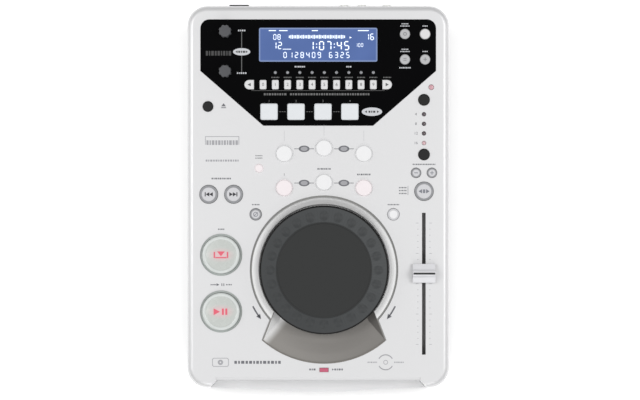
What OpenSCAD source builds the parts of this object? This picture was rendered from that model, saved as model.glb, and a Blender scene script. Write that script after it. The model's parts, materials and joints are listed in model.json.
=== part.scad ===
// Tabletop disc player for mixing: a wedge-shaped housing with a sloping control deck,
// a large jog wheel, a tempo fader and a slot-in disc drive. Millimetres, front at -Y.

/* [Housing] */
// Width of the housing
body_w = 216; // [210:1:240]
// Depth of the housing, front wall to rear wall
body_d = 314; // [312:1:340]
// Height of the front edge of the deck above the table
front_h = 62; // [60:1:76]
// Slope of the deck in degrees
deck_tilt = 5; // [3.5:0.5:8]
// Radius of the upright corners
corner_r = 16.5; // [13:0.5:20]
// Rounding along the outer edge of the deck
edge_r = 5; // [3:0.5:7]
// Wall of the two shells
wall = 2.5; // [2:0.1:3]
// Thickness of the deck
deck_t = 3.5; // [3.2:0.1:4]
// Height of the seam between the two shells
seam_h = 20; // [17:1:22]
// Thickness of the bottom of the lower shell
floor_t = 2; // [1.5:0.1:3]
// Height of the rubber feet
foot_h = 6; // [4:0.5:9]
// Diameter of the rubber feet
foot_d = 22; // [16:1:26]
// Distance of the feet from the walls
foot_in = 24; // [20:1:34]

// Distance between the ribs on the side walls
rib_pitch = 50; // [40:1:60]
// Thickness of the ribs in the two shells
rib_t = 1.5; // [1:0.1:2]

/* [Screws] */
// Diameter of the case screws
screw_d = 3; // [2.5:0.1:4]
// Diameter of the screw heads
screw_head_d = 5.6; // [5:0.1:6.5]
// Diameter of the screw bosses
boss_d = 9; // [8:0.5:10]
// Distance of the case screws from the walls
screw_in = 12; // [11:0.5:13]

/* [Display window] */
// Distance of the window from the side walls
window_side = 11; // [9:0.5:12]
// Distance of the window from the rear edge
window_rear = 12; // [10:0.5:14]
// Length of the straight sides of the window
window_side_l = 42.3; // [38:0.1:46]
// Length of the window from its rear to its front edge
window_l = 87.4; // [86:0.1:92]
// Half width of the window along its front edge
window_foot = 45.2; // [44:0.1:54]
// Radius of the rear corners of the window
window_r = 7.3; // [4:0.1:10]
// Thickness of the window panel
window_t = 2; // [1.6:0.1:2.2]
// Width of the display glass
lcd_w = 98; // [90:1:104]
// Length of the display glass
lcd_l = 28.3; // [26:0.1:30]
// Distance of the display from the rear edge of the window
lcd_rear = 6.6; // [6:0.1:7.5]

/* [Small keys] */
// Distance between the small keys
key_pitch = 10.1; // [9.6:0.1:10.6]
// Width of a small key
key_w = 5.5; // [4.5:0.1:6]
// Length of a small key
key_l = 7.6; // [6:0.1:8.4]
// Width of an end key
end_key_w = 7.8; // [6:0.1:8.4]
// Distance of the key row from the rear edge
key_rear = 65.7; // [64:0.1:67]
// Diameter of the small lamps above the keys
key_lamp_d = 2.5; // [2:0.1:3]
// Distance between the key row and its lamps
key_lamp_up = 10; // [8:0.1:11]

/* [Square and round buttons of the window] */
// Width of a square button
square_w = 14.3; // [12:0.1:15.5]
// Length of a square button
square_l = 13.5; // [12:0.1:14.5]
// Distance between the square buttons
square_pitch = 22.2; // [19:0.1:22.6]
// Middle of the square buttons, left of the centre line
square_left = 7.2; // [5:0.1:8]
// Distance of the square buttons from the rear edge
square_rear = 88; // [87:0.1:89]
// Diameter of the round buttons beside the display
window_button_d = 8.4; // [7:0.1:9]
// Distance of the outer round buttons from the side of the window
window_button_side = 8.9; // [8.7:0.1:10]
// Distance between the two columns of round buttons
window_button_pitch = 16.6; // [14:0.1:17]
// Distance between the two rows of round buttons
window_button_rows = 21; // [16:0.1:24]
// Distance of the rear row of round buttons behind the middle of the display
window_button_up = 8.8; // [7:0.1:10.5]
// Diameter of the turning knobs
knob_d = 10.4; // [9:0.1:13]
// Height of the turning knobs
knob_h = 11; // [8:0.5:13]
// Distance of the knobs from the side of the window
knob_side = 20.5; // [18:0.1:22]
// Distance between the two knobs
knob_pitch = 32.7; // [26:0.1:34]
// Distance of the rear knob behind the middle of the display
knob_up = 10.5; // [8:0.1:11.5]

/* [Buttons of the deck] */
// Middle line of the jog wheel and of the round buttons, right of the centre line
mid_u = 4.8; // [2:0.1:7]
// Diameter of the white round buttons
round_d = 13.3; // [10:0.1:14.5]
// Distance between the columns of white round buttons
round_pitch = 32.8; // [28:0.1:34]
// Distance of the lower row of white round buttons behind the centre of the jog wheel
round_v = 67.4; // [66.5:0.1:69]
// Distance between the two rows of white round buttons
round_rows = 28.2; // [26:0.1:28.6]
// Distance by which the middle column stands further back
round_step = 4.6; // [0:0.1:4.8]
// Diameter of the small white button
small_d = 6.7; // [5:0.1:8]
// Distance of the small white button left of the middle line
small_left = 53.7; // [50:0.1:56]
// Distance of the small white button from the front edge
small_v = 180.6; // [177:0.1:185]
// Diameter of the track skip buttons
skip_d = 15; // [12:0.1:16]
// Distance of the track skip buttons from the front edge
skip_v = 159.1; // [150:0.1:165]
// Distance between the track skip buttons
skip_pitch = 20.5; // [19.5:0.1:21]
// Diameter of the two buttons beside the top of the jog wheel
jog_button_d = 9.6; // [8:0.1:11]
// Distance of these two buttons behind the centre of the jog wheel
jog_button_up = 45.6; // [43:0.1:48]
// Distance of the search button left of the middle line
search_left = 56.3; // [54:0.1:60]
// Distance of the hold button right of the middle line
hold_right = 57.2; // [55:0.1:60]
// Diameter of the pitch bend buttons
bend_d = 8; // [7:0.1:9]
// Distance between the pitch bend buttons
bend_pitch = 13.1; // [12.4:0.1:13.4]
// Distance of the pitch bend buttons from the front edge
bend_v = 176.8; // [176:0.1:178]
// Diameter of the tempo range button
range_d = 15.4; // [12:0.1:16]
// Distance of the tempo range button from the front edge
range_v = 161.6; // [160.5:0.1:162]
// Diameter of the two black buttons beside the status lamps
black_d = 9.2; // [8:0.1:10]
// Diameter of the eject button
eject_d = 8.4; // [7:0.1:10]
// Distance of the tempo button from the rear edge
tempo_rear = 78.2; // [77:0.1:79.5]
// Distance of the time button from the rear edge
time_rear = 123.3; // [122.2:0.1:125]
// Distance of the eject button from the left wall
eject_side = 17.1; // [15:0.1:18]
// Distance of the eject button from the rear edge
eject_rear = 83.7; // [80:0.1:88]
// Diameter of the cue and play buttons
big_d = 31; // [26:0.1:32]
// Diameter of the lens on the cue and play buttons
big_lens_d = 25; // [18:0.1:25.5]
// Width of the sunk collar round the cue and play buttons
big_collar = 1.6; // [1:0.1:2]
// Distance of the cue and play buttons from the left wall
big_side = 28; // [26:0.1:29]
// Distance of the play button from the front edge
play_v = 62.5; // [50:0.1:66]
// Distance between the play and the cue button
big_pitch = 46.7; // [42:0.1:48]
// Travel of every button
travel = 1; // [0.6:0.1:1.2]
// Gap all round a button in its hole
button_gap = 0.3; // [0.2:0.05:0.4]

/* [Lamps of the deck] */
// Diameter of the status lamps
lamp_d = 3; // [2.5:0.1:4]
// Distance of the status lamps and black buttons from the right wall
lamp_side = 20.8; // [20:0.1:22]
// Distance of the rearmost status lamp from the rear edge
lamp_rear = 90.1; // [89:0.1:91]
// Distance between the status lamps
lamp_pitch = 7.9; // [6:0.1:8.2]
// Diameter of the small red lamp
ready_d = 4; // [3:0.1:5]
// Distance of the small red lamp from the right wall
ready_side = 14.8; // [14:0.1:16]
// Distance of the small red lamp from the rear edge
ready_rear = 67.8; // [67:0.1:70]
// Width of the oblong lamp at the front
bar_lamp_w = 7; // [5:0.1:9]
// Length of the oblong lamp at the front
bar_lamp_l = 3; // [2:0.1:3.2]
// Distance of the oblong lamp from the front edge
bar_lamp_v = 14.3; // [13.6:0.1:14.8]

/* [Jog wheel] */
// Distance of the centre of the wheel from the front edge
jog_v = 97; // [96.5:0.1:98]
// Radius of the wheel
jog_r = 52.8; // [48:0.1:53.5]
// Height of the wheel above the deck
jog_h = 12; // [9:0.5:14]
// Inner radius of the finger ring
finger_r = 38.9; // [34:0.1:41]
// Number of finger dimples
dimple_n = 24; // [12:1:30]
// Diameter of a finger dimple
dimple_d = 7.6; // [5:0.1:8]
// Depth of a finger dimple
dimple_depth = 0.9; // [0.4:0.1:1.2]
// Radius of the shaft of the wheel
shaft_r = 4; // [3:0.1:5]
// Gap between the shaft and its bush
shaft_gap = 0.06; // [0.04:0.01:0.08]
// Gap between the wheel and its bezel
jog_gap = 0.8; // [0.5:0.1:1.2]
// Outer radius of the raised ring of the bezel
ring_r = 59.5; // [57:0.1:59.8]
// Height of the raised ring above the deck
ring_h = 2; // [1:0.1:3]
// Outer radius of the finger scoop in front of the wheel
scoop_r = 77.4; // [70:0.1:78]
// Half width of the scoop at its inner end
scoop_half = 45.4; // [40:0.1:47]
// Half width of the scoop at its outer corners
scoop_corner = 51.2; // [48:0.1:53]
// Half angle of the hollow of the scoop
scoop_angle = 41; // [30:0.5:41.5]
// Depth of the scoop beside the wheel
scoop_depth = 5.2; // [3:0.1:6]
// Thickness of the bezel under the wheel
bowl_t = 2.3; // [1.8:0.1:3]
// Fall of the raised ring towards the wheel
ring_dish = 1; // [0.4:0.1:1.4]

/* [Tempo fader] */
// Distance of the fader from the right wall
fader_side = 20.9; // [20:0.1:22.5]
// Middle of the fader slot from the front edge
fader_v = 85.4; // [84:0.1:88]
// Full travel of the fader cap
fader_travel = 100; // [80:1:104]
// Where the cap rests, behind the middle of the slot
fader_rest = 8.7; // [-20:0.1:20]
// Width of the fader slot
fader_slot_w = 3; // [2.6:0.1:4]
// Width of the fader cap
cap_w = 18.6; // [14:0.1:20.5]
// Length of the fader cap
cap_l = 15.5; // [12:0.1:18]
// Height of the fader cap
cap_h = 10; // [7:0.5:12]

/* [Front slot] */
// Distance from the side wall to the front recess
notch_side = 18; // [17.5:0.1:24]
// Depth of the front recess in the deck
notch_d = 5.8; // [4.5:0.1:6.5]
// Run of the slanted ends of the recess
notch_slant = 5.5; // [2:0.1:8]
// Distance by which the lower lip stands out in the middle
lip_out = 4; // [2:0.1:6]
// Depth of the disc mouth below the front edge of the deck
slot_drop = 24; // [23:0.5:25]
// Width of the disc mouth
slot_w = 126; // [124:1:132]
// Height of the disc mouth
slot_h = 5; // [4.8:0.1:5.6]
// Middle of the disc mouth, right of the centre line
slot_u = 4; // [-6:0.5:6]
// Thickness of the slot fascia
fascia_t = 3.2; // [2.4:0.1:4]

/* [Disc drive] */
// Diameter of the discs
disc_d = 120; // [118:1:122]
// Thickness of the sheet metal of the drive
sheet_t = 1.5; // [1:0.1:2]
// Diameter of the feed roller
roller_d = 8; // [6:0.1:9]
// Diameter of the axle of the feed roller
roller_axle_d = 3; // [2:0.1:4]
// Diameter of the disc hub
hub_d = 24; // [20:1:26]
// Travel of the laser sled
sled_travel = 34; // [28:1:36]
// Diameter of the guide rods of the sled
rod_d = 3; // [2:0.1:4]

/* [Rear panel] */
// Length of the phono sockets behind the rear wall
phono_l = 8; // [6:0.5:10]
// Diameter of the phono sockets
phono_d = 8.4; // [8:0.1:9]
// Distance between the phono sockets
phono_pitch = 15; // [12:0.5:18]
// First phono socket, right of the centre line
phono_right = 22; // [20:0.5:26]
// Sockets below the rear edge of the deck
socket_drop = 50; // [46:0.5:56]
// Width of the power inlet
inlet_w = 28; // [26:0.5:30]
// Height of the power inlet
inlet_h = 20; // [18:0.5:22]
// Middle of the power inlet below the rear edge of the deck
inlet_drop = 46; // [44:0.5:50]
// Distance of the power inlet and switch from the left wall
power_left = 42.5; // [38:0.5:53]
// Width of the rocker of the power switch
rocker_w = 10; // [9:0.5:12]
// Height of the rocker of the power switch
rocker_h = 17.2; // [15:0.1:18]
// Middle of the power switch below the rear edge of the deck
rocker_drop = 21; // [20:0.5:22.5]

/* [Circuit board] */
// Depth of the board below the deck
board_drop = 16; // [15:0.5:16.5]
// Thickness of the board
board_t = 1.6; // [1:0.1:2]
// Height of the push switches on the board
switch_h = 4.5; // [3:0.1:5]

/* [Hidden] */
$fn = 64;

// Gap between pieces that are slid into each other and then stay
seat_gap = 0.2;
// Overlap that makes a cut go right through a face
cut = 1;

// The deck is a plane that rises from its front edge at edge_y
deck_l = body_d / cos(deck_tilt);
edge_y = lip_out - (lip_out + body_d + phono_l) / 2;
rear_y = edge_y + body_d;
half_w = body_w / 2;
function deck_z(y) = front_h + (y - edge_y) * tan(deck_tilt);

// Window outline
window_half = half_w - window_side;
window_top = deck_l - window_rear;
window_bend = window_top - window_side_l;
window_low = window_top - window_l;
window_ledge = 4;
lcd_deep = 7;
lcd_side = 4;
lcd_end = 2;

// Places of the controls on the deck
key_n = 10;
lcd_v = window_top - lcd_rear - lcd_l / 2;
key_v = deck_l - key_rear;
key_lamp_v = key_v + key_lamp_up;
square_v = deck_l - square_rear;
window_button_u = window_half - window_button_side;
window_button_v = lcd_v + window_button_up;
knob_u = knob_side - window_half;
knob_v = lcd_v + knob_up;
big_u = big_side - half_w;
cue_v = play_v + big_pitch;
lamp_u = half_w - lamp_side;
lamp_v = deck_l - lamp_rear;
tempo_v = deck_l - tempo_rear;
time_v = deck_l - time_rear;
ready_u = half_w - ready_side;
ready_v = deck_l - ready_rear;
eject_u = eject_side - half_w;
eject_v = deck_l - eject_rear;
small_u = mid_u - small_left;
search_u = mid_u - search_left;
hold_u = mid_u + hold_right;
jog_button_v = jog_v + jog_button_up;
fader_u = half_w - fader_side;
row_v = jog_v + round_v;

// Levels below the deck plane
flange_top = -deck_t - 0.3;
flange_t = 1.2;
flange_out = 1.2;
collar_depth = 1.2;
square_r = 1.5;
stem_r = 2;
board_top = -board_drop;
encoder_top = board_top + 7;
knob_stem_d = 6;
stem_end = board_top + switch_h + travel + 0.3;

// Jog wheel and bezel
pocket_r = ring_r + 1.5;
pocket_depth = 1.5;
bezel_step = 2.5;
bowl_r = jog_r + jog_gap;
ring_edge = 0.6;
bush_r = shaft_r + 5;
bush_end = -board_drop - 4;
scoop_near = 43;
scoop_run = 15;
scoop_rim = 0.8;
scoop_toe = 0.9;
scoop_lean = atan2(scoop_corner - scoop_half, scoop_run);
wheel_low = -scoop_depth + 1;
wheel_t = 2.5;
rim_w = 2.3;
ring_fall = 1.5;

// Front slot and drive
slot_z = front_h - slot_drop;
notch_half = half_w - notch_side;
notch_z = seam_h + 6;
tongue_h = 2.5;
fascia_z = seam_h + tongue_h + 0.5;
fascia_y = edge_y + wall + seat_gap;
fascia_back = edge_y + notch_d + fascia_t;
fascia_top = front_h - deck_t / cos(deck_tilt) - 0.1;
fascia_half = notch_half + 0.8;
fascia_bevel = 0.7 * max(edge_r - wall, 1);
drive_front = fascia_back + 0.3;
disc_clear = 8;
drive_half = disc_d / 2 + disc_clear;
drive_l = disc_d + 3 * disc_clear;
drive_top = slot_z + slot_h / 2 + 1.5;
drive_deep = 18;
drive_low = slot_z - drive_deep;
disc_low = slot_z - slot_h / 2;
roller_y = drive_front + 8;
roller_z = disc_low - 0.2 - roller_d / 2;
hub_y = drive_front + disc_clear + disc_d / 2;
hub_top = disc_low - 0.3;
sled_near = hub_y + 26;
sled_z = drive_low + 7;
rod_x = 17;
rod_gap = 0.08;
axle_gap = 0.1;
spindle_r = 1.5;
disc_bore_d = 15;
hub_t = 4.5;
cone_h = 2.4;
sled_side = 4;
sled_l = 18;
sled_t = 7.6;
sled_up = 4.2;
sled_lens_r = 4.4;
sled_lens_h = 2;
roller_end = 5;
axle_out = 1;
rod_near = 8;
rod_holder_t = 3;
rod_holder_h = 10;
rod_holder_out = 6;
spindle_boss_r = 7;
spindle_boss_h = 6;
hub_hole_d = 34;
sled_hole_w = 24;
sled_hole_near = 18;

// Lower shell and screws
floor_top = foot_h + floor_t;
boss_z = seam_h - 2;
floor_rib_h = 4;
floor_rib_out = 58;
vent_u = 78;
vent_pitch = 9;
vent_l = 34;
vent_w = 3.6;
vent_r = 1.7;
post_d = 9;
post_in = 12;
post_side = 6;
head_t = 2;
head_in = 3;
board_head_d = 4.4;
cross_l = 3.6;
cross_w = 0.8;
case_bite = 14;
board_bite = 5;
board_bore_d = 2.4;
board_post_u = 60;
board_post_near = 28;
board_post_far = 208;
board_post_in = 11;
board_post_left = 200;
board_post_right = 217;
board_notch_w = 30;
board_notch_l = 14;
board_notch_v = 11;

// Fader
slot_l = fader_travel + 17;
lever_l = 8;
lever_t = fader_slot_w - 0.6;
fader_low = -12;
fader_case_w = 14;
fader_end = 4.5;
fader_floor = 1.5;
cap_up = 0.6;

// Rear panel
remote_d = 8;
remote_left = 14;
remote_pitch = 16;
power_u = power_left - half_w;
socket_z = deck_z(rear_y) - socket_drop;
inlet_z = deck_z(rear_y) - inlet_drop;
rocker_z = deck_z(rear_y) - rocker_drop;
rocker_gap = 0.5;
panel_t = 1.6;
inlet_deep = 16;
inlet_wall = 1.5;
inlet_step = 1.5;
rocker_tilt = 7;
rocker_deep = 9;
rocker_root = 5;
rocker_hip = 5.5;
rocker_out = 2.6;
rocker_waist = 1.4;
phono_bore_d = 3.4;
remote_bore_d = 3.6;
remote_deep = 9;

function board_posts() = [[-board_post_u, board_post_near], [board_post_u + 6, board_post_near],
    [-board_post_u, board_post_far], [board_post_u, board_post_far],
    [board_post_in - half_w, board_post_left], [half_w - board_post_in, board_post_right]];
function status_lamps() = [for (i = [0 : 3]) lamp_v - i * lamp_pitch];

module on_deck(u, v, w = 0) {
    translate([0, edge_y, front_h]) rotate([deck_tilt, 0, 0]) translate([u, v, w]) children();
}

module at_corners(inset) {
    for (x = [-1, 1], y = [edge_y + inset, rear_y - inset])
        translate([x * (half_w - inset), y, 0]) children();
}

module rounded_plate(w, l, r) {
    square([w - 2 * r, l], center = true);
    square([w, l - 2 * r], center = true);
    for (x = [-1, 1], y = [-1, 1]) translate([x * (w / 2 - r), y * (l / 2 - r)]) circle(r);
}

// Outline of the housing seen from above, set in from the walls
module plan(inset) {
    translate([0, edge_y + body_d / 2])
        rounded_plate(body_w - 2 * inset, body_d - 2 * inset, corner_r - inset);
}

// Solid wedge of the upper shell from a height up to the sloping deck
module wedge(inset, sink, low) {
    edge = max(edge_r - inset, 1);
    hull() for (x = [-1, 1], y = [edge_y + corner_r, rear_y - corner_r]) {
        translate([x * (half_w - corner_r), y, low]) cylinder(r = corner_r - inset, h = 1, $fn = 32);
        translate([x * (half_w - corner_r), y, deck_z(y) - (sink + edge) / cos(deck_tilt)])
            rotate([deck_tilt, 0, 0]) rotate_extrude($fn = 32)
                translate([corner_r - inset - edge, 0]) circle(edge, $fn = 24);
    }
}

module window_outline(grow) {
    slant = atan2(window_bend - window_low, window_half - window_foot);
    side_low = window_bend - grow * tan(45 - slant / 2);
    foot = window_foot + grow * tan(slant / 2);
    side = window_half + grow;
    top = window_top + grow;
    r = window_r + grow;
    polygon([[-side, side_low], [-foot, window_low - grow], [foot, window_low - grow], [side, side_low],
        [side, top - r], [side - r, top], [r - side, top], [-side, top - r]]);
    for (x = [-1, 1]) translate([x * (side - r), top - r]) circle(r);
}

// Half width of the finger scoop at a distance in front of the centre of the wheel
function scoop_side(v) = scoop_half + (v - scoop_near) * tan(scoop_lean);

// Outline of the finger scoop about the centre of the wheel
module scoop_outline(grow) {
    near = 30;
    far = scoop_r + grow + 1;
    inner = scoop_side(near) + grow;
    outer = scoop_side(far) + grow;
    intersection() {
        circle(scoop_r + grow, $fn = 128);
        polygon([[-inner, -near], [inner, -near], [outer, -far], [-outer, -far]]);
    }
}

module bezel_outline(grow) {
    circle(pocket_r + grow, $fn = 128);
    scoop_outline(grow);
}

module front_recess_outline(shrink) {
    end = notch_half - shrink;
    polygon([[-end, -lip_out - 1], [end, -lip_out - 1], [end, 0], [end - notch_slant, notch_d],
        [notch_slant - end, notch_d], [-end, 0]]);
}

module phono_places() {
    for (step = [0, 1, 2.4]) translate([phono_right + step * phono_pitch, rear_y, socket_z])
        rotate([-90, 0, 0]) children();
}

module remote_places() {
    for (step = [0, 1]) translate([step * remote_pitch - remote_left, rear_y, socket_z])
        rotate([-90, 0, 0]) children();
}

// Holes of the round controls in the deck
module deck_hole(u, v, d) {
    on_deck(u, v, -deck_t - cut) cylinder(d = d + 2 * button_gap, h = deck_t + 2 * cut);
}

module deck_holes() {
    for (i = [-1, 1], row = [0, 1])
        deck_hole(mid_u + i * round_pitch, row_v + row * round_rows, round_d);
    for (row = [0, 1]) deck_hole(mid_u, row_v + round_step + row * round_rows, round_d);
    for (i = [-0.5, 0.5]) deck_hole(big_u + i * skip_pitch, skip_v, skip_d);
    for (i = [-0.5, 0.5]) deck_hole(lamp_u + i * bend_pitch, bend_v, bend_d);
    for (v = [play_v, cue_v]) {
        deck_hole(big_u, v, big_d);
        on_deck(big_u, v, -collar_depth)
            cylinder(d = big_d + 2 * button_gap + 2 * big_collar, h = collar_depth + cut);
    }
    deck_hole(small_u, small_v, small_d);
    deck_hole(search_u, jog_button_v, jog_button_d);
    deck_hole(hold_u, jog_button_v, jog_button_d);
    deck_hole(lamp_u, range_v, range_d);
    deck_hole(lamp_u, tempo_v, black_d);
    deck_hole(lamp_u, time_v, black_d);
    deck_hole(eject_u, eject_v, eject_d);
    for (v = status_lamps()) deck_hole(lamp_u, v, lamp_d);
    deck_hole(ready_u, ready_v, ready_d);
    on_deck(mid_u, bar_lamp_v, -deck_t - cut) linear_extrude(deck_t + 2 * cut)
        square([bar_lamp_w + 2 * button_gap, bar_lamp_l + 2 * button_gap], center = true);
    on_deck(fader_u, fader_v, -deck_t - cut) linear_extrude(deck_t + 2 * cut)
        square([fader_slot_w, slot_l], center = true);
}

// Openings of the deck for the window and for the bezel of the wheel, each with a ledge
module deck_openings() {
    on_deck(0, 0, -window_t) linear_extrude(window_t + cut) window_outline(seat_gap);
    on_deck(0, 0, -deck_t - cut) linear_extrude(deck_t + cut) window_outline(-window_ledge);
    for (i = [0 : 3]) on_deck(square_u(i), square_v, -deck_t - cut) linear_extrude(deck_t + cut)
        square_outline(button_gap);
    on_deck(mid_u, jog_v, -pocket_depth) linear_extrude(pocket_depth + cut) bezel_outline(seat_gap);
    on_deck(mid_u, jog_v, -deck_t - cut) linear_extrude(deck_t + cut) bezel_outline(seat_gap - bezel_step);
}

module front_recess() {
    bevel = 3.6;
    translate([0, edge_y, notch_z]) linear_extrude(front_h) front_recess_outline(0);
    on_deck(0, notch_d, 0) rotate([45, 0, 0])
        cube([2 * (notch_half - notch_slant), bevel, bevel], center = true);
}

module rear_openings() {
    through = wall + 2 * cut;
    translate([power_u, rear_y - wall / 2, inlet_z])
        cube([inlet_w - 2 * (inlet_step - seat_gap), through, inlet_h - 2 * (inlet_step - seat_gap)],
            center = true);
    translate([power_u, rear_y - wall / 2, rocker_z])
        cube([rocker_w + 3.6 + 2 * seat_gap, through, rocker_h + 4.8 + 2 * seat_gap], center = true);
    phono_places() translate([0, 0, -wall - cut]) cylinder(d = phono_d + 2 + 2 * seat_gap, h = through);
    remote_places() translate([0, 0, -wall - cut]) cylinder(d = remote_d + 2 * seat_gap, h = through);
}

module shell_bosses() {
    for (x = [-1, 1], y = [edge_y + screw_in, rear_y - screw_in])
        translate([x * (half_w - screw_in), y, boss_z])
            cylinder(d = boss_d, h = deck_z(y) - deck_t - boss_z + 1);
    for (p = board_posts()) on_deck(p[0], p[1], board_top)
        cylinder(d = board_bore_d + 3.2, h = board_drop - deck_t + 1);
}

// Ribs that stiffen the side walls
module shell_ribs() {
    low = seam_h + tongue_h + 1.5;
    deep = 3;
    for (x = [-1, 1], i = [-2 : 2]) let (y = edge_y + body_d / 2 + i * rib_pitch)
        translate([x * (half_w - wall - deep / 2 + 0.5) - deep / 2 - 0.5, y - rib_t / 2, low])
            cube([deep + 1, rib_t, deck_z(y) - deck_t - low + 1]);
}

module shell_bores() {
    at_corners(screw_in) translate([0, 0, boss_z - cut]) cylinder(d = screw_d, h = case_bite + 2 + cut);
    for (p = board_posts()) on_deck(p[0], p[1], board_top - cut)
        cylinder(d = board_bore_d, h = board_bite + 2 + cut);
}

module upper_shell() {
    color("gainsboro") difference() {
        union() {
            difference() {
                wedge(0, 0, seam_h);
                wedge(wall, deck_t, seam_h - 2);
            }
            shell_bosses();
            shell_ribs();
        }
        shell_bores();
        deck_openings();
        deck_holes();
        front_recess();
        rear_openings();
    }
}

module vent_rows() {
    for (x = [-vent_u, vent_u], i = [-5 : 5])
        translate([x, edge_y + body_d / 2 + i * vent_pitch, foot_h - cut])
            linear_extrude(floor_t + 2 * cut) rounded_plate(vent_l, vent_w, vent_r);
}

// Ribs across the floor of the lower shell, in front of the vents and behind them
module floor_ribs() {
    wide = body_w - 2 * (wall + seat_gap) - 1;
    for (side = [-1, 1]) let (y = edge_y + body_d / 2 + side * floor_rib_out)
        translate([-wide / 2, y - rib_t / 2, floor_top - 0.5]) cube([wide, rib_t, floor_rib_h + 0.5]);
}

module drive_posts(d, low, high) {
    for (x = [-1, 1], y = [drive_front + post_in, drive_front + drive_l - post_in])
        translate([slot_u + x * (drive_half - post_side), y, low]) cylinder(d = d, h = high - low);
}

module base_pan() {
    color("dimgray") difference() {
        union() {
            difference() {
                union() {
                    translate([0, 0, foot_h]) linear_extrude(seam_h - foot_h) plan(0.3);
                    translate([0, 0, seam_h - 4]) linear_extrude(4 + tongue_h) plan(wall + seat_gap);
                }
                translate([0, 0, floor_top]) linear_extrude(seam_h) plan(wall + seat_gap + 1.5);
            }
            at_corners(screw_in) translate([0, 0, floor_top - 1])
                cylinder(d = boss_d + 1, h = boss_z - floor_top + 1);
            drive_posts(post_d, floor_top - 1, drive_low);
            floor_ribs();
        }
        at_corners(screw_in) translate([0, 0, foot_h - cut]) cylinder(d = screw_d + 0.4, h = seam_h);
        at_corners(screw_in) translate([0, 0, foot_h - cut])
            cylinder(d = screw_head_d + 0.6, h = head_in + head_t + cut);
        vent_rows();
    }
}

module feet() {
    color("black") at_corners(foot_in) rotate_extrude()
        polygon([[0, 1.2], [foot_d / 2 - 6, 1.2], [foot_d / 2 - 5, 0], [foot_d / 2 - 1, 0],
            [foot_d / 2 - 0.2, 0.8], [foot_d / 2 + 0.6, foot_h], [0, foot_h]]);
}

// Cross-head screw that points up, from the bottom of its head
module screw(d, head, l) {
    translate([0, 0, 1]) cylinder(d = d, h = l - 1);
    difference() {
        cylinder(d = head, h = head_t);
        translate([0, 0, -cut]) linear_extrude(cut + 1)
            for (a = [0, 90]) rotate(a) square([cross_l, cross_w], center = true);
    }
}

module case_screws() {
    color("silver") {
        at_corners(screw_in) translate([0, 0, foot_h + head_in])
            screw(screw_d - 0.2, screw_head_d, boss_z + case_bite - foot_h - head_in);
        for (p = board_posts()) on_deck(p[0], p[1], board_top - board_t - head_t)
            screw(board_bore_d - 0.2, board_head_d, head_t + board_t + board_bite);
    }
}

module window_panel() {
    color("black") on_deck(0, 0, -window_t) linear_extrude(window_t) difference() {
        window_outline(0);
        translate([0, lcd_v]) square([lcd_w, lcd_l], center = true);
        for (i = [0 : key_n - 1]) translate([key_u(i), key_v]) key_outline(button_gap);
        for (x = [-1, 1]) translate([x * end_key_u(), key_v]) flip(x) end_key_outline(button_gap);
        for (u = key_lamps()) translate([u, key_lamp_v]) circle(d = key_lamp_d + 0.2);
        for (i = [0 : 3]) translate([square_u(i), square_v]) square_outline(button_gap);
        for (p = window_buttons()) translate(p) circle(d = window_button_d + 2 * button_gap);
        for (i = [0, 1]) translate([knob_u, knob_v - i * knob_pitch])
            circle(d = knob_stem_d + 2 * button_gap);
    }
}

function key_u(i) = (i - (key_n - 1) / 2) * key_pitch;
function end_key_u() = (key_n - 1) / 2 * key_pitch + 11.4;
function key_lamps() = [for (i = [1 : key_n - 1]) key_u(i)];
function square_u(i) = -square_left + (i - 1.5) * square_pitch;
function window_buttons() = [for (row = [0, 1], i = [1, 0])
    [window_button_u - i * window_button_pitch, window_button_v - row * window_button_rows]];

module flip(side) {
    if (side < 0) mirror([1, 0, 0]) children();
    else children();
}

module square_outline(grow) {
    rounded_plate(square_w + 2 * grow, square_l + 2 * grow, square_r + grow);
}

module key_outline(grow) {
    rounded_plate(key_w + 2 * grow, key_l + 2 * grow, 1);
}

// Key with a half-round outer end on its +X side
module end_key_outline(grow) {
    r = key_l / 2 + grow;
    translate([end_key_w / 2 + grow - r, 0]) circle(r);
    translate([-end_key_w / 2 - grow, -r]) square([end_key_w + 2 * grow - r, 2 * r]);
}

module lcd_module() {
    color("royalblue") {
        on_deck(0, lcd_v, -window_t) linear_extrude(window_t - 0.4)
            square([lcd_w - 2 * seat_gap, lcd_l - 2 * seat_gap], center = true);
        on_deck(0, lcd_v, -window_t - lcd_deep) linear_extrude(lcd_deep)
            square([lcd_w + 2 * lcd_side, lcd_l + 2 * lcd_end], center = true);
    }
}

module jog_bezel() {
    color("silver") on_deck(mid_u, jog_v) difference() {
        union() {
            translate([0, 0, -pocket_depth]) linear_extrude(0.8) circle(pocket_r, $fn = 128);
            translate([0, 0, -pocket_depth]) linear_extrude(pocket_depth) scoop_outline(0);
            translate([0, 0, -scoop_depth - bowl_t]) linear_extrude(scoop_depth + bowl_t - pocket_depth)
                bezel_outline(-bezel_step);
            rotate_extrude($fn = 128) polygon([[jog_r, -pocket_depth], [ring_r, -pocket_depth],
                [ring_r, ring_h - ring_edge], [ring_r - ring_edge, ring_h],
                [bowl_r + ring_edge, ring_h - ring_dish], [bowl_r, ring_h - ring_dish - ring_edge],
                [jog_r, ring_h - ring_dish - ring_edge]]);
            translate([0, 0, bush_end]) cylinder(r = bush_r, h = -bush_end - scoop_depth);
        }
        translate([0, 0, -scoop_depth])
            cylinder(r = bowl_r, h = scoop_depth + ring_h + cut, $fn = 128);
        scoop_hollow();
        for (side = [-1, 1]) flip(side) scoop_wall();
        translate([0, 0, bush_end - cut]) cylinder(r = shaft_r + shaft_gap, h = -bush_end + cut);
    }
}

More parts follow.
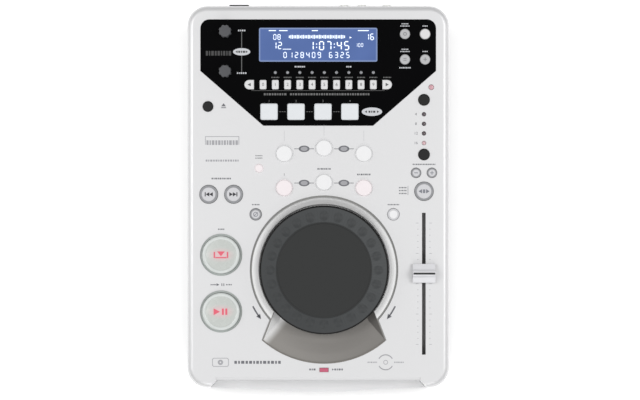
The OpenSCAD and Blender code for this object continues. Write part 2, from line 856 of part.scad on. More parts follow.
// Hollow of the finger scoop: a floor that slopes down towards the wheel
module scoop_hollow() {
    land = scoop_r - 3;
    far = scoop_r + 10;
    intersection() {
        translate([0, 0, -scoop_depth - cut]) linear_extrude(scoop_depth + ring_h + 2 * cut)
            intersection() {
                scoop_outline(-scoop_rim);
                polygon([[0, 0], [-far * tan(scoop_angle), -far], [far * tan(scoop_angle), -far]]);
            }
        rotate_extrude($fn = 128) polygon([[jog_r - 2, -scoop_depth], [jog_r + 3, -scoop_depth],
            [land, -0.7], [scoop_r + 1, -0.7], [scoop_r + 1, ring_h + cut], [jog_r - 2, ring_h + cut]]);
    }
}

// Slanted side wall of the hollow on its +X side, from the rim down to the edge of the floor
module scoop_wall() {
    far = scoop_r + 10;
    top_u = scoop_half - scoop_rim;
    floor_u = bowl_r * sin(scoop_angle);
    floor_v = bowl_r * cos(scoop_angle);
    slant_w = (top_u - floor_u) * cos(scoop_lean) + (floor_v - scoop_near) * sin(scoop_lean) - scoop_toe;
    intersection() {
        translate([0, 0, -scoop_depth]) linear_extrude(scoop_depth + ring_h + cut) intersection() {
            scoop_outline(-scoop_rim);
            polygon([[0, 0], [far * tan(scoop_angle), -far], [2 * far, -far], [2 * far, 0]]);
        }
        translate([top_u, -scoop_near, 0]) rotate([0, 0, scoop_lean])
            rotate([0, -atan(scoop_depth / slant_w), 0]) translate([-far / 2, -far, 0])
                cube([far, 2 * far, far / 2]);
    }
}

module jog_wheel() {
    rim = jog_h - ring_fall;
    under = jog_h - wheel_t - 1.6;
    color("darkslategray") on_deck(mid_u, jog_v) difference() {
        rotate_extrude($fn = 128) polygon([[0, stem_low()], [shaft_r, stem_low()], [shaft_r, wheel_low],
            [shaft_r + 4, wheel_low], [shaft_r + 4, under], [finger_r, under],
            [jog_r - wheel_t - 0.6, rim - 0.7 - wheel_t], [jog_r - wheel_t, wheel_low], [jog_r, wheel_low],
            [jog_r, rim - 1.5], [jog_r - 1, rim - 0.3], [jog_r - rim_w, rim], [finger_r + 0.8, jog_h],
            [finger_r + 0.2, jog_h - 0.5], [finger_r - 0.6, jog_h - 0.5], [finger_r - 1.2, jog_h - 0.2],
            [0, jog_h - 0.2]]);
        dimples();
    }
}

function stem_low() = bush_end - 1;

// Round dimples for a finger, sunk into the sloping ring of the wheel
module dimples() {
    ball_r = (dimple_d * dimple_d / 4 + dimple_depth * dimple_depth) / (2 * dimple_depth);
    mid_r = (finger_r + 0.8 + jog_r - rim_w) / 2;
    mid_h = jog_h - ring_fall / 2;
    for (i = [0 : dimple_n - 1]) rotate(i * 360 / dimple_n)
        translate([mid_r, 0, mid_h + ball_r - dimple_depth]) sphere(r = ball_r, $fn = 48);
}

module slot_fascia() {
    tall = slot_z - slot_h / 2 - 1.2 - notch_z - seat_gap;
    lip_slope = 14;
    color("lightgray") difference() {
        union() {
            difference() {
                translate([-fascia_half, fascia_y, fascia_z])
                    cube([2 * fascia_half, fascia_back - fascia_y, fascia_top - fascia_z]);
                translate([0, fascia_y, fascia_top]) rotate([45, 0, 0])
                    cube([2 * half_w, sqrt(2) * fascia_bevel, sqrt(2) * fascia_bevel], center = true);
                translate([0, edge_y, notch_z]) linear_extrude(front_h) front_recess_outline(0);
            }
            difference() {
                translate([0, edge_y, notch_z + seat_gap]) linear_extrude(tall) lip_outline();
                translate([-half_w, edge_y + notch_d, notch_z + seat_gap + tall]) rotate([lip_slope, 0, 0])
                    translate([0, -40, 0]) cube([body_w, 40, 20]);
            }
        }
        translate([slot_u, edge_y, slot_z]) cube([slot_w, 60, slot_h], center = true);
        translate([slot_u, edge_y + notch_d, slot_z]) rotate([0, 90, 0])
            linear_extrude(slot_w, center = true) rotate(45) square(slot_h, center = true);
    }
}

// Lower lip of the mouth: a long shallow bow with a fuller middle
module lip_outline() {
    end = notch_half - seat_gap;
    steps = 24;
    bow_part = 0.55;
    middle_half = 36;
    bow = [for (i = [0 : steps]) let (x = -end + 2 * end * i / steps, t = (x - slot_u) / middle_half)
        [x, -lip_out * (bow_part * (1 - pow(x / end, 2)) + (1 - bow_part) * exp(-pow(t, 4)))]];
    back = notch_d + 0.5;
    side = end - notch_slant * back / notch_d;
    polygon(concat(bow, [[side, back], [-side, back]]));
}

// Push switch under a control
module push_switch(u, v) {
    on_deck(u, v, board_top) linear_extrude(switch_h) square(6, center = true);
}

module board_switches() {
    for (i = [-1, 1], row = [0, 1]) push_switch(mid_u + i * round_pitch, row_v + row * round_rows);
    for (row = [0, 1]) push_switch(mid_u, row_v + round_step + row * round_rows);
    for (i = [-0.5, 0.5]) push_switch(big_u + i * skip_pitch, skip_v);
    for (i = [-0.5, 0.5]) push_switch(lamp_u + i * bend_pitch, bend_v);
    for (v = [play_v, cue_v]) push_switch(big_u, v);
    push_switch(small_u, small_v);
    push_switch(search_u, jog_button_v);
    push_switch(hold_u, jog_button_v);
    for (v = [range_v, tempo_v, time_v]) push_switch(lamp_u, v);
    push_switch(eject_u, eject_v);
    for (i = [0 : key_n - 1]) push_switch(key_u(i), key_v);
    for (x = [-1, 1]) push_switch(x * end_key_u(), key_v);
    for (i = [0 : 3]) push_switch(square_u(i), square_v);
    for (p = window_buttons()) push_switch(p[0], p[1]);
}

// Lamps stand on the board and end just above the deck
module lamp(u, v, d) {
    on_deck(u, v, board_top) cylinder(d = d, h = board_drop + 0.4);
}

module circuit_boards() {
    color("seagreen") {
        on_deck(0, 0, board_top - board_t) linear_extrude(board_t) difference() {
            translate([0, deck_l / 2 - 4]) square([body_w - 16, deck_l - 32], center = true);
            translate([mid_u, jog_v]) circle(r = bush_r + 1);
            for (x = [-1, 1]) translate([x * (half_w - 4), board_notch_v])
                square([board_notch_w, board_notch_l], center = true);
            for (p = board_posts()) translate(p) circle(d = board_bore_d + 0.4);
        }
        board_switches();
        for (v = status_lamps()) lamp(lamp_u, v, lamp_d);
        lamp(ready_u, ready_v, ready_d);
        for (u = key_lamps()) lamp(u, key_lamp_v, key_lamp_d);
        on_deck(mid_u, bar_lamp_v, flange_top) linear_extrude(0.4 - flange_top)
            square([bar_lamp_w, bar_lamp_l], center = true);
        for (i = [0, 1]) on_deck(knob_u, knob_v - i * knob_pitch, board_top)
            linear_extrude(encoder_top - board_top) square(12, center = true);
    }
}

module fader_unit() {
    color("darkgray") on_deck(fader_u, fader_v, fader_low) difference() {
        linear_extrude(-fader_low - deck_t) square([fader_case_w, slot_l + 2 * fader_end], center = true);
        translate([0, 0, fader_floor]) linear_extrude(-fader_low)
            square([fader_slot_w + 2 * seat_gap, slot_l], center = true);
    }
}

module fader_cap() {
    foot = cap_l / 2;
    waist = foot * 0.42;
    color("whitesmoke") on_deck(fader_u, fader_v + fader_rest) {
        translate([0, 0, cap_up]) rotate([90, 0, 90]) linear_extrude(cap_w, center = true)
            polygon([[-foot, 0], [foot, 0], [foot, cap_h * 0.35], [waist, cap_h * 0.62], [1.6, cap_h],
                [0.8, cap_h], [0.8, cap_h - 0.8], [-0.8, cap_h - 0.8], [-0.8, cap_h], [-1.6, cap_h],
                [-waist, cap_h * 0.62], [-foot, cap_h * 0.35]]);
        translate([0, 0, fader_low + 2.5]) linear_extrude(-fader_low - 1)
            square([lever_t, lever_l], center = true);
    }
}

module drive_chassis() {
    wide = 2 * drive_half;
    color("lightsteelblue") difference() {
        union() {
            translate([slot_u - drive_half, drive_front, drive_low]) difference() {
                cube([wide, drive_l, drive_top - drive_low]);
                translate([sheet_t, -cut, sheet_t])
                    cube([wide - 2 * sheet_t, drive_l + 2 * cut, drive_top - drive_low - 2 * sheet_t]);
            }
            for (x = [-1, 1]) translate([slot_u + x * rod_x, hub_y + rod_near, sled_z]) rotate([-90, 0, 0])
                cylinder(d = rod_d, h = drive_l - (hub_y + rod_near - drive_front));
            for (y = [hub_y + rod_near, drive_front + drive_l - rod_holder_t])
                translate([slot_u - rod_x - rod_holder_out, y, drive_low])
                    cube([2 * (rod_x + rod_holder_out), rod_holder_t, rod_holder_h]);
            translate([slot_u, hub_y, drive_low]) cylinder(r = spindle_boss_r, h = spindle_boss_h);
        }
        translate([slot_u, roller_y, roller_z]) rotate([0, 90, 0])
            cylinder(d = roller_axle_d + 2 * axle_gap, h = wide + 2 * cut, center = true);
        translate([slot_u, hub_y, drive_low - cut]) cylinder(r = spindle_r + axle_gap, h = 10);
        translate([slot_u, hub_y, drive_top - sheet_t - cut])
            cylinder(d = hub_hole_d, h = sheet_t + 2 * cut);
        translate([slot_u - sled_hole_w / 2, hub_y + sled_hole_near, drive_low - cut])
            cube([sled_hole_w, sled_travel + 6, sheet_t + 2 * cut]);
    }
}

module disc_spindle() {
    low = hub_top - hub_t;
    cone_r = disc_bore_d / 2 - 0.1;
    seat = hub_top - cone_h;
    color("dimgray") translate([slot_u, hub_y, 0]) rotate_extrude()
        polygon([[0, drive_low + 1], [spindle_r, drive_low + 1], [spindle_r, low], [hub_d / 2, low],
            [hub_d / 2, seat], [cone_r, seat], [cone_r - 0.2, seat + cone_h * 2 / 3],
            [cone_r * 2 / 3, hub_top], [0, hub_top]]);
}

module laser_sled() {
    color("slategray") translate([slot_u, sled_near, sled_z]) {
        difference() {
            translate([-rod_x - sled_side, -sled_l / 2, sled_up - sled_t])
                cube([2 * (rod_x + sled_side), sled_l, sled_t]);
            for (x = [-1, 1]) translate([x * rod_x, 0, 0]) rotate([90, 0, 0])
                cylinder(d = rod_d + 2 * rod_gap, h = sled_l + 2 * cut, center = true);
        }
        translate([0, 0, sled_up]) cylinder(r1 = sled_lens_r, r2 = sled_lens_r - 1.4, h = sled_lens_h);
    }
}

module feed_roller() {
    color("black") translate([slot_u, roller_y, roller_z]) rotate([0, 90, 0]) {
        cylinder(d = roller_d, h = 2 * (drive_half - roller_end), center = true);
        cylinder(d = roller_axle_d, h = 2 * (drive_half + axle_out), center = true);
    }
}

module power_inlet() {
    inset = inlet_step + inlet_wall;
    color("black") {
        translate([power_u, rear_y, inlet_z]) difference() {
            union() {
                translate([-inlet_w / 2, 0, -inlet_h / 2]) cube([inlet_w, panel_t, inlet_h]);
                translate([inlet_step - inlet_w / 2, -inlet_deep, inlet_step - inlet_h / 2])
                    cube([inlet_w - 2 * inlet_step, inlet_deep, inlet_h - 2 * inlet_step]);
            }
            translate([inset - inlet_w / 2, inset - inlet_deep, inset - inlet_h / 2])
                cube([inlet_w - 2 * inset, inlet_deep + cut, inlet_h - 2 * inset]);
        }
        for (p = [[-5, -2], [5, -2], [0, 2.6]])
            translate([power_u + p[0] - 1, rear_y - 14, inlet_z + p[1] - 2]) cube([2, 9, 4]);
        translate([power_u, rear_y, rocker_z]) difference() {
            union() {
                translate([-rocker_w / 2 - 3, 0, -rocker_h / 2 - 3.6])
                    cube([rocker_w + 6, panel_t, rocker_h + 7.2]);
                translate([-rocker_w / 2 - 1.8, -rocker_deep - 2, -rocker_h / 2 - 2.4])
                    cube([rocker_w + 3.6, rocker_deep + 2, rocker_h + 4.8]);
            }
            translate([-rocker_w / 2 - rocker_gap, -rocker_deep, -rocker_h / 2 - 1])
                cube([rocker_w + 2 * rocker_gap, rocker_deep + 5, rocker_h + 2]);
        }
    }
}

module power_rocker() {
    tall = rocker_h / 2;
    color("black") translate([power_u, rear_y, rocker_z]) rotate([rocker_tilt, 0, 0])
        rotate([90, 0, 90]) linear_extrude(rocker_w, center = true)
            polygon([[-rocker_root, -rocker_hip], [rocker_out, -tall], [rocker_waist, 0],
                [rocker_out, tall], [-rocker_root, rocker_hip]]);
}

module rear_sockets() {
    color("goldenrod") {
        phono_places() difference() {
            union() {
                cylinder(d = phono_d, h = phono_l);
                translate([0, 0, -wall - 2]) cylinder(d = phono_d + 2, h = wall + 3);
            }
            translate([0, 0, 1]) cylinder(d = phono_bore_d, h = phono_l);
        }
        remote_places() difference() {
            union() {
                cylinder(d = remote_d, h = 1.5);
                translate([0, 0, -wall - remote_deep]) cylinder(d = remote_d, h = wall + remote_deep);
            }
            translate([0, 0, 2 - wall - remote_deep])
                cylinder(d = remote_bore_d, h = wall + remote_deep + cut);
        }
    }
}

module knob(u, v) {
    r = knob_d / 2;
    color("dimgray") on_deck(u, v) {
        difference() {
            translate([0, 0, 0.6]) rotate_extrude()
                polygon([[0, 0], [r, 0], [r, knob_h - 2], [r - 0.8, knob_h - 0.8], [0, knob_h - 0.6]]);
            for (a = [0 : 45 : 315]) rotate(a) translate([r + 0.9, 0, -cut])
                cylinder(d = 3.2, h = knob_h + 3, $fn = 32);
        }
        translate([0, 0, encoder_top + 0.4]) cylinder(d = knob_stem_d, h = 0.6 - encoder_top);
    }
}

// Profile of a round button below the deck: stem over its switch and retaining flange
function button_foot(r) = [[0, stem_end], [stem_r, stem_end], [stem_r, flange_top - flange_t],
    [r + flange_out, flange_top - flange_t], [r + flange_out, flange_top], [r, flange_top]];

// Round button with a flat face
module round_button(u, v, d, rise) {
    r = d / 2;
    on_deck(u, v) rotate_extrude()
        polygon(concat(button_foot(r), [[r, rise - 0.6], [r - 0.6, rise], [0, rise]]));
}

// Round button with a lower dark rim round a raised face
module rim_button(u, v, d, rise, rim) {
    r = d / 2;
    on_deck(u, v) rotate_extrude() polygon(concat(button_foot(r), [[r, rise - 1], [r - 0.3, rise - 0.7],
        [r - rim, rise - 0.7], [r - rim - 0.3, rise], [0, rise]]));
}

// Cue and play button: a ring with a domed clear lens in it
module big_button(u, v) {
    r = big_d / 2;
    lens = big_lens_d / 2;
    dome = [for (i = [0 : 6]) let (x = lens * (1 - i / 6)) [x, 3.2 + 0.8 * (1 - pow(x / lens, 2))]];
    color("mintcream") on_deck(u, v) rotate_extrude($fn = 96)
        polygon(concat(button_foot(r), [[r, 2.8], [r - 1, 3.8], [lens + 0.6, 3.8], [lens, 3.2]],
            [for (p = dome) if (p[0] < lens) p]));
}

module square_button(i) {
    color("white") {
        on_deck(square_u(i), square_v, flange_top) linear_extrude(0.8 - flange_top) square_outline(0);
        on_deck(square_u(i), square_v, 0.8) linear_extrude(0.6) square_outline(-0.5);
        on_deck(square_u(i), square_v, flange_top - flange_t) linear_extrude(flange_t)
            square_outline(flange_out);
        on_deck(square_u(i), square_v, stem_end)
            cylinder(r = stem_r, h = flange_top - flange_t - stem_end);
    }
}

module key_body(u) {
    on_deck(u, key_v, flange_top - flange_t) linear_extrude(flange_t)
        square([key_w + 2, key_l + 2], center = true);
    on_deck(u, key_v, stem_end) cylinder(r = stem_r, h = flange_top - flange_t - stem_end);
}

module small_key(i) {
    color("white") {
        on_deck(key_u(i), key_v, flange_top) linear_extrude(0.8 - flange_top) key_outline(0);
        on_deck(key_u(i), key_v, 0.8) linear_extrude(0.4) key_outline(-0.4);
        key_body(key_u(i));
    }
}

module end_key(side) {
    color("white") {
        on_deck(side * end_key_u(), key_v, flange_top) linear_extrude(0.8 - flange_top)
            flip(side) end_key_outline(0);
        on_deck(side * end_key_u(), key_v, 0.8) linear_extrude(0.4) flip(side) end_key_outline(-0.4);
        key_body(side * end_key_u());
    }
}

module skip_button(side) {
    color("lavender") rim_button(big_u + side * skip_pitch, skip_v, skip_d, 1.8, 1.7);
}

module jog_button(u) {
    color("whitesmoke") rim_button(u, jog_button_v, jog_button_d, 1.6, 1.2);
}

module bend_button(side) {
    color("whitesmoke") rim_button(lamp_u + side * bend_pitch, bend_v, bend_d, 1.6, 1);
}

module range_button() {
    color("whitesmoke") rim_button(lamp_u, range_v, range_d, 1.8, 1.6);
}

module scratch_button() {
    color("mistyrose") round_button(small_u, small_v, small_d, 1.6);
}

module black_button(u, v, d = black_d) {
    color("black") round_button(u, v, d, 1.6);
}

module effect_button(col, row) {
    step = col == 0 ? round_step : 0;
    color("white")
        round_button(mid_u + col * round_pitch, row_v + step + row * round_rows, round_d, 2.6);
}

module display_button(i) {
    p = window_buttons()[i];
    color("lightgray") round_button(p[0], p[1], window_button_d, 1.8);
}

upper_shell();
base_pan();
feet();
case_screws();
window_panel();
lcd_module();
jog_bezel();
jog_wheel();
slot_fascia();
circuit_boards();
fader_unit();
fader_cap();
drive_chassis();
disc_spindle();
laser_sled();
feed_roller();
power_inlet();
power_rocker();
rear_sockets();
knob(knob_u, knob_v);  // track_knob
knob(knob_u, knob_v - knob_pitch);  // menu_knob
big_button(big_u, cue_v);  // cue_button
big_button(big_u, play_v);  // play_button
skip_button(-0.5);  // skip_back_button
skip_button(0.5);  // skip_forward_button
effect_button(-1, 1);  // effect_button_1
effect_button(0, 1);  // effect_button_2
effect_button(1, 1);  // effect_button_3
effect_button(-1, 0);  // effect_button_4
effect_button(0, 0);  // effect_button_5
effect_button(1, 0);  // effect_button_6
square_button(0);  // loop_button_1
square_button(1);  // loop_button_2
square_button(2);  // loop_button_3
square_button(3);  // loop_button_4
display_button(0);  // display_button_1
display_button(1);  // display_button_2
display_button(2);  // display_button_3
display_button(3);  // display_button_4
jog_button(search_u);  // search_button
jog_button(hold_u);  // hold_button
scratch_button();
bend_button(-0.5);  // bend_down_button
bend_button(0.5);  // bend_up_button
range_button();
black_button(eject_u, eject_v, eject_d);  // eject_button
black_button(lamp_u, tempo_v);  // tempo_button
black_button(lamp_u, time_v);  // time_button
end_key(-1);  // key_01
small_key(0);  // key_02
small_key(1);  // key_03
small_key(2);  // key_04
small_key(3);  // key_05
small_key(4);  // key_06
small_key(5);  // key_07
small_key(6);  // key_08
small_key(7);  // key_09
small_key(8);  // key_10
small_key(9);  // key_11
end_key(1);  // key_12
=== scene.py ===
import json
import math
from collections import namedtuple

import bmesh
import bpy
from mathutils import Matrix, Vector


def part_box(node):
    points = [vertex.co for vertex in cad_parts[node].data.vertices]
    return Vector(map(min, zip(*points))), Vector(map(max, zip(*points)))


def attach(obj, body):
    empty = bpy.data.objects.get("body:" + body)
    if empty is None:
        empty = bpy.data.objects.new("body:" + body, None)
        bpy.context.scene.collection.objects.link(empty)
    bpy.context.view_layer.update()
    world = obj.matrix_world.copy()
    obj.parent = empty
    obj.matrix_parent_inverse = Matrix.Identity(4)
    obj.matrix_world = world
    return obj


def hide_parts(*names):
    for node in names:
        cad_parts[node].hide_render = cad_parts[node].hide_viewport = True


bl_info = {
    "name": "Tabletop disc player",
    "version": (1, 0, 0),
    "blender": (4, 5, 0),
    "location": "3D View > Sidebar > Player",
    "description": "Finishes, printed marks, display and lamps of a tabletop disc player",
    "category": "Object",
}

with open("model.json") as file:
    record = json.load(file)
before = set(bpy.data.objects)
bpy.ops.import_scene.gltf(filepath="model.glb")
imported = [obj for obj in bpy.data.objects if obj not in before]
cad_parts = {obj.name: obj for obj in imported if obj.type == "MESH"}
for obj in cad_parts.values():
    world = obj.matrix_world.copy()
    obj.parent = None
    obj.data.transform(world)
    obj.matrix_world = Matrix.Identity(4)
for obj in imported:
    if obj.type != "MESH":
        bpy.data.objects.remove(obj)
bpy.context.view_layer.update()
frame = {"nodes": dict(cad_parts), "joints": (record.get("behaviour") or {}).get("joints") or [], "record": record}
NODES = frame["nodes"]
BODIES = frame["record"]["behaviour"]["bodies"]
BODY_OF = {node: body for body, members in BODIES.items() for node in members}
WHEEL_AXIS = next(joint for joint in frame["joints"] if joint["name"] == "jog_turn")

MM = 0.001
FULL_TURN = 2 * math.pi
HOUSING = "housing"
SHARP = math.radians(35)
SHARP_ON_SHELLS = math.radians(25)
NEARLY_FLAT = math.radians(0.6)
SAME_PLANE = 0.001

# Places on the deck are u, across from its middle, and v, back from its front edge, in millimetres.
Spot = namedtuple("Spot", "u v half top")
Top = namedtuple("Top", "u v wide deep")


# ---------------------------------------------------------------- places

def deck_matrix():
    """Turns deck millimetres (across, back from the front edge, out of the deck) into the frame."""
    tilt = -math.asin(WHEEL_AXIS["axis"][1])
    centre = Vector(WHEEL_AXIS["pos_m"])
    turn = Matrix.Rotation(tilt, 4, "X")
    slope = turn @ Vector((0, 1, 0))
    start = centre - slope * ((centre.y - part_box("upper_shell")[0].y) / slope.y)
    start.x = 0
    return Matrix.Translation(start) @ turn @ Matrix.Scale(MM, 4)


DECK = deck_matrix()
TILT = DECK.to_euler().x
TO_DECK = DECK.inverted()
FRAME_MM = Matrix.Scale(MM, 4)

# Heights over the deck from which a control, a lamp and the display are measured.
SHOWS_ABOVE = 0.05
LAMP_TOPS_ABOVE = 0.3
BELOW_WINDOW = -1.0
LAMP_WIDTHS = {"key_lamps": (2.0, 2.7), "status_lamps": (2.7, 3.4), "ready_lamp": (3.4, 5.0),
               "front_lamp": (5.0, 9.0)}

# Places and width of marks that more than one function prints.
KNOB_LINE_ASIDE = 13.4
FRONT_MARKS_V = 20.6
FRAME_LINE = 0.5


def deck_box(node, above=-math.inf):
    """Lowest and highest corner of a node in deck millimetres, counting what is above a height."""
    points = [TO_DECK @ vertex.co for vertex in NODES[node].data.vertices]
    points = [point for point in points if point.z > above]
    low = Vector([min(point[i] for point in points) for i in range(3)])
    high = Vector([max(point[i] for point in points) for i in range(3)])
    return low, high


def spot(node):
    """Place across and back, half width and top of what a node shows above the deck."""
    low, high = deck_box(node, SHOWS_ABOVE)
    return Spot((low.x + high.x) / 2, (low.y + high.y) / 2, (high.x - low.x) / 2, high.z)


def between(first, second):
    """Place half way between two nodes."""
    first, second = spot(first), spot(second)
    return (first.u + second.u) / 2, (first.v + second.v) / 2


def flat_tops(node, above):
    """Place, width and length of each separate top that a node raises above a height."""
    bm = bmesh.new()
    bm.from_mesh(NODES[node].data)
    bm.transform(TO_DECK)
    bmesh.ops.remove_doubles(bm, verts=bm.verts, dist=0.01)
    left = {vertex for vertex in bm.verts if vertex.co.z > above}
    tops = []
    while left:
        queue = [left.pop()]
        found = []
        while queue:
            vertex = queue.pop()
            found.append(vertex.co.copy())
            near = {edge.other_vert(vertex) for edge in vertex.link_edges} & left
            left -= near
            queue.extend(near)
        across = [point.x for point in found]
        along = [point.y for point in found]
        tops.append(Top((min(across) + max(across)) / 2, (min(along) + max(along)) / 2,
                        max(across) - min(across), max(along) - min(along)))
    bm.free()
    return sorted(tops)


def lamps(kind):
    """Tops of the lamps of one kind, which are told apart by their width."""
    least, most = LAMP_WIDTHS[kind]
    return [top for top in flat_tops("circuit_boards", LAMP_TOPS_ABOVE) if least < top.wide < most]


WHEEL_U, WHEEL_V, _ = TO_DECK @ Vector(WHEEL_AXIS["pos_m"])
WHEEL_R = (deck_box("jog_wheel")[1].x - deck_box("jog_wheel")[0].x) / 2
DECK_HALF = deck_box("upper_shell")[1].x


# ---------------------------------------------------------------- sizes and colours

def tone(red, green=None, blue=None):
    """A screen colour from 0 to 255 as the linear colour that a shader takes."""
    green = red if green is None else green
    blue = red if blue is None else blue
    return tuple(((c / 255 + 0.055) / 1.055) ** 2.4 if c > 10 else c / 255 / 12.92
                 for c in (red, green, blue))


def length(name, description, default):
    """A size in millimetres that the user may change."""
    return bpy.props.FloatProperty(name=name, description=description, default=default * MM,
                                   min=0.0, unit="LENGTH", precision=5)


def colour(name, description, *screen):
    """A colour that the user may change, given as a screen colour."""
    return bpy.props.FloatVectorProperty(name=name, description=description, default=tone(*screen),
                                         min=0.0, max=1.0, size=3, subtype="COLOR")


class PlayerSizes(bpy.types.PropertyGroup):
    """Sizes of the finish that a user may change"""
    print_rise: length("Print thickness", "Height of the printed marks above their surface", 0.05)
    line: length("Line width", "Width of the thin printed lines", 0.35)
    deck_figures: length("Deck figures", "Height of the numbers on the deck", 2.2)
    window_figures: length("Window figures", "Height of the numbers on the window", 1.9)
    key_figures: length("Key figures", "Height of the numbers on the keys", 2.7)
    button_round: length("Button rounding", "Rounding of the edges of the buttons", 0.3)
    lens_rise: length("Lamp rise", "Height of the lamp lenses above the deck", 0.9)
    time_figures: length("Time figures", "Height of the time on the display", 6.6)
    row_figures: length("Row figures", "Height of the lower row on the display", 4.4)
    felt_gap: length("Felt gap", "Slit between the two felt lips of the disc mouth", 0.5)


class PlayerColours(bpy.types.PropertyGroup):
    """Colours of the finish that a user may change"""
    paint: colour("Housing paint", "Silver-white paint of the housing", 216, 216, 217)
    pan: colour("Lower shell", "Textured plastic of the lower shell", 92, 92, 94)
    window: colour("Window", "Gloss black of the display window", 3, 3, 4)
    ring: colour("Wheel ring", "Spun metal ring round the wheel", 236, 236, 236)
    scoop: colour("Finger scoop", "Warm grey of the finger scoop", 131, 128, 124)
    wheel: colour("Wheel", "Dark plastic of the wheel", 49, 50, 50)
    grip: colour("Finger ring", "Lighter finger ring of the wheel", 68, 70, 71)
    white: colour("White buttons", "Translucent white of the buttons", 231, 231, 232)
    pink: colour("Lit buttons", "White buttons with a red lamp behind them", 236, 228, 230)
    ring_grey: colour("Button rings", "Dark rings of the small buttons", 148, 149, 152)
    face: colour("Button faces", "Faces of the ringed buttons", 204, 204, 207)
    lens: colour("Lens", "Clear greenish lens of the two large buttons", 194, 198, 194)
    glow: colour("Lamp red", "Light of the red lamps", 208, 88, 106)
    ink: colour("Deck print", "Grey print on the deck", 104, 105, 110)
    pale_ink: colour("Pale deck print", "Lighter grey print on the deck", 158, 158, 162)
    window_ink: colour("Window print", "Pale print on the window", 196, 198, 202)
    keys: colour("Keys", "Milky white of the small keys", 216, 216, 217)
    display: colour("Display", "Lit blue of the display", 78, 100, 152)
    segments: colour("Segments", "Light segments of the display", 226, 236, 252)


def sizes():
    return bpy.context.scene.player_sizes


def colours():
    return bpy.context.scene.player_colours


# ---------------------------------------------------------------- materials

class Value:
    """A number or vector in a material, on which plain arithmetic can be written."""

    def __init__(self, finish, socket):
        self.finish = finish
        self.socket = socket

    def __add__(self, other):
        return self.finish.math("ADD", self, other)

    __radd__ = __add__

    def __sub__(self, other):
        return self.finish.math("SUBTRACT", self, other)

    def __rsub__(self, other):
        return self.finish.math("SUBTRACT", other, self)

    def __mul__(self, other):
        return self.finish.math("MULTIPLY", self, other)

    __rmul__ = __mul__

    def __pow__(self, other):
        return self.finish.math("POWER", self, other)

    def __abs__(self):
        return self.finish.math("ABSOLUTE", self)


class Finish:
    """A procedural material round one Principled shader, measured in millimetres."""

    def __init__(self, name, **constants):
        self.material = bpy.data.materials.new(name)
        self.material.use_nodes = True
        self.tree = self.material.node_tree
        self.shader = self.tree.nodes["Principled BSDF"]
        self.set(**constants)

    def set(self, **sockets):
        for name, value in sockets.items():
            self.feed(self.shader.inputs[name.replace("_", " ").title().replace("Ior", "IOR")], value)

    def feed(self, socket, value):
        if isinstance(value, Value):
            self.tree.links.new(value.socket, socket)
        elif socket.type == "RGBA":
            socket.default_value = (*tuple(value)[:3], 1.0)
        else:
            socket.default_value = value

    def node(self, kind, settings=None, inputs=None, output=0):
        made = self.tree.nodes.new(kind)
        for name, setting in (settings or {}).items():
            setattr(made, name, setting)
        for key, value in (inputs or {}).items():
            self.feed(made.inputs[key], value)
        return Value(self, made.outputs[output])

    def math(self, operation, *values):
        return self.node("ShaderNodeMath", {"operation": operation}, dict(enumerate(values)))

    def place(self, across=0.0, back=0.0, space=DECK):
        """Millimetres about a point of the deck or of the frame, as a vector and its parts."""
        coords = self.node("ShaderNodeTexCoord", output=3)
        turn = (TILT, 0.0, 0.0) if space is DECK else (0.0, 0.0, 0.0)
        local = self.node("ShaderNodeMapping", {"vector_type": "TEXTURE"}, {
            "Vector": coords, "Location": space @ Vector((across, back, 0.0)),
            "Rotation": turn, "Scale": (MM, MM, MM)})
        parts = [self.node("ShaderNodeSeparateXYZ", None, {0: local}, i) for i in range(3)]
        return local, *parts

    def stretched(self, vector, *scale):
        return self.node("ShaderNodeVectorMath", {"operation": "MULTIPLY"}, {0: vector, 1: scale})

    def noise(self, vector, per_mm, detail=2.0):
        return self.node("ShaderNodeTexNoise", None,
                         {"Vector": vector, "Scale": per_mm, "Detail": detail})

    def step(self, value, low, high):
        """0 below low and 1 above high, with a soft change between them."""
        return self.node("ShaderNodeMapRange", {"interpolation_type": "SMOOTHSTEP"},
                         {0: value, 1: low, 2: high, 3: 0.0, 4: 1.0})

    def mix(self, share, first, second):
        return self.node("ShaderNodeMix", {"data_type": "RGBA"}, {0: share, 6: first, 7: second}, 2)

    def relief(self, height, depth, strength=1.0):
        self.set(normal=self.node("ShaderNodeBump", None,
                                  {"Height": height, "Strength": strength, "Distance": depth * MM}))


def shade(rgb, factor):
    """A colour made darker or, past 1, lighter."""
    return tuple(min(1.0, c * factor) for c in tuple(rgb)[:3])


def distance(first, second):
    """Length of the way to a point that lies this far off in two directions."""
    return (first * first + second * second) ** 0.5


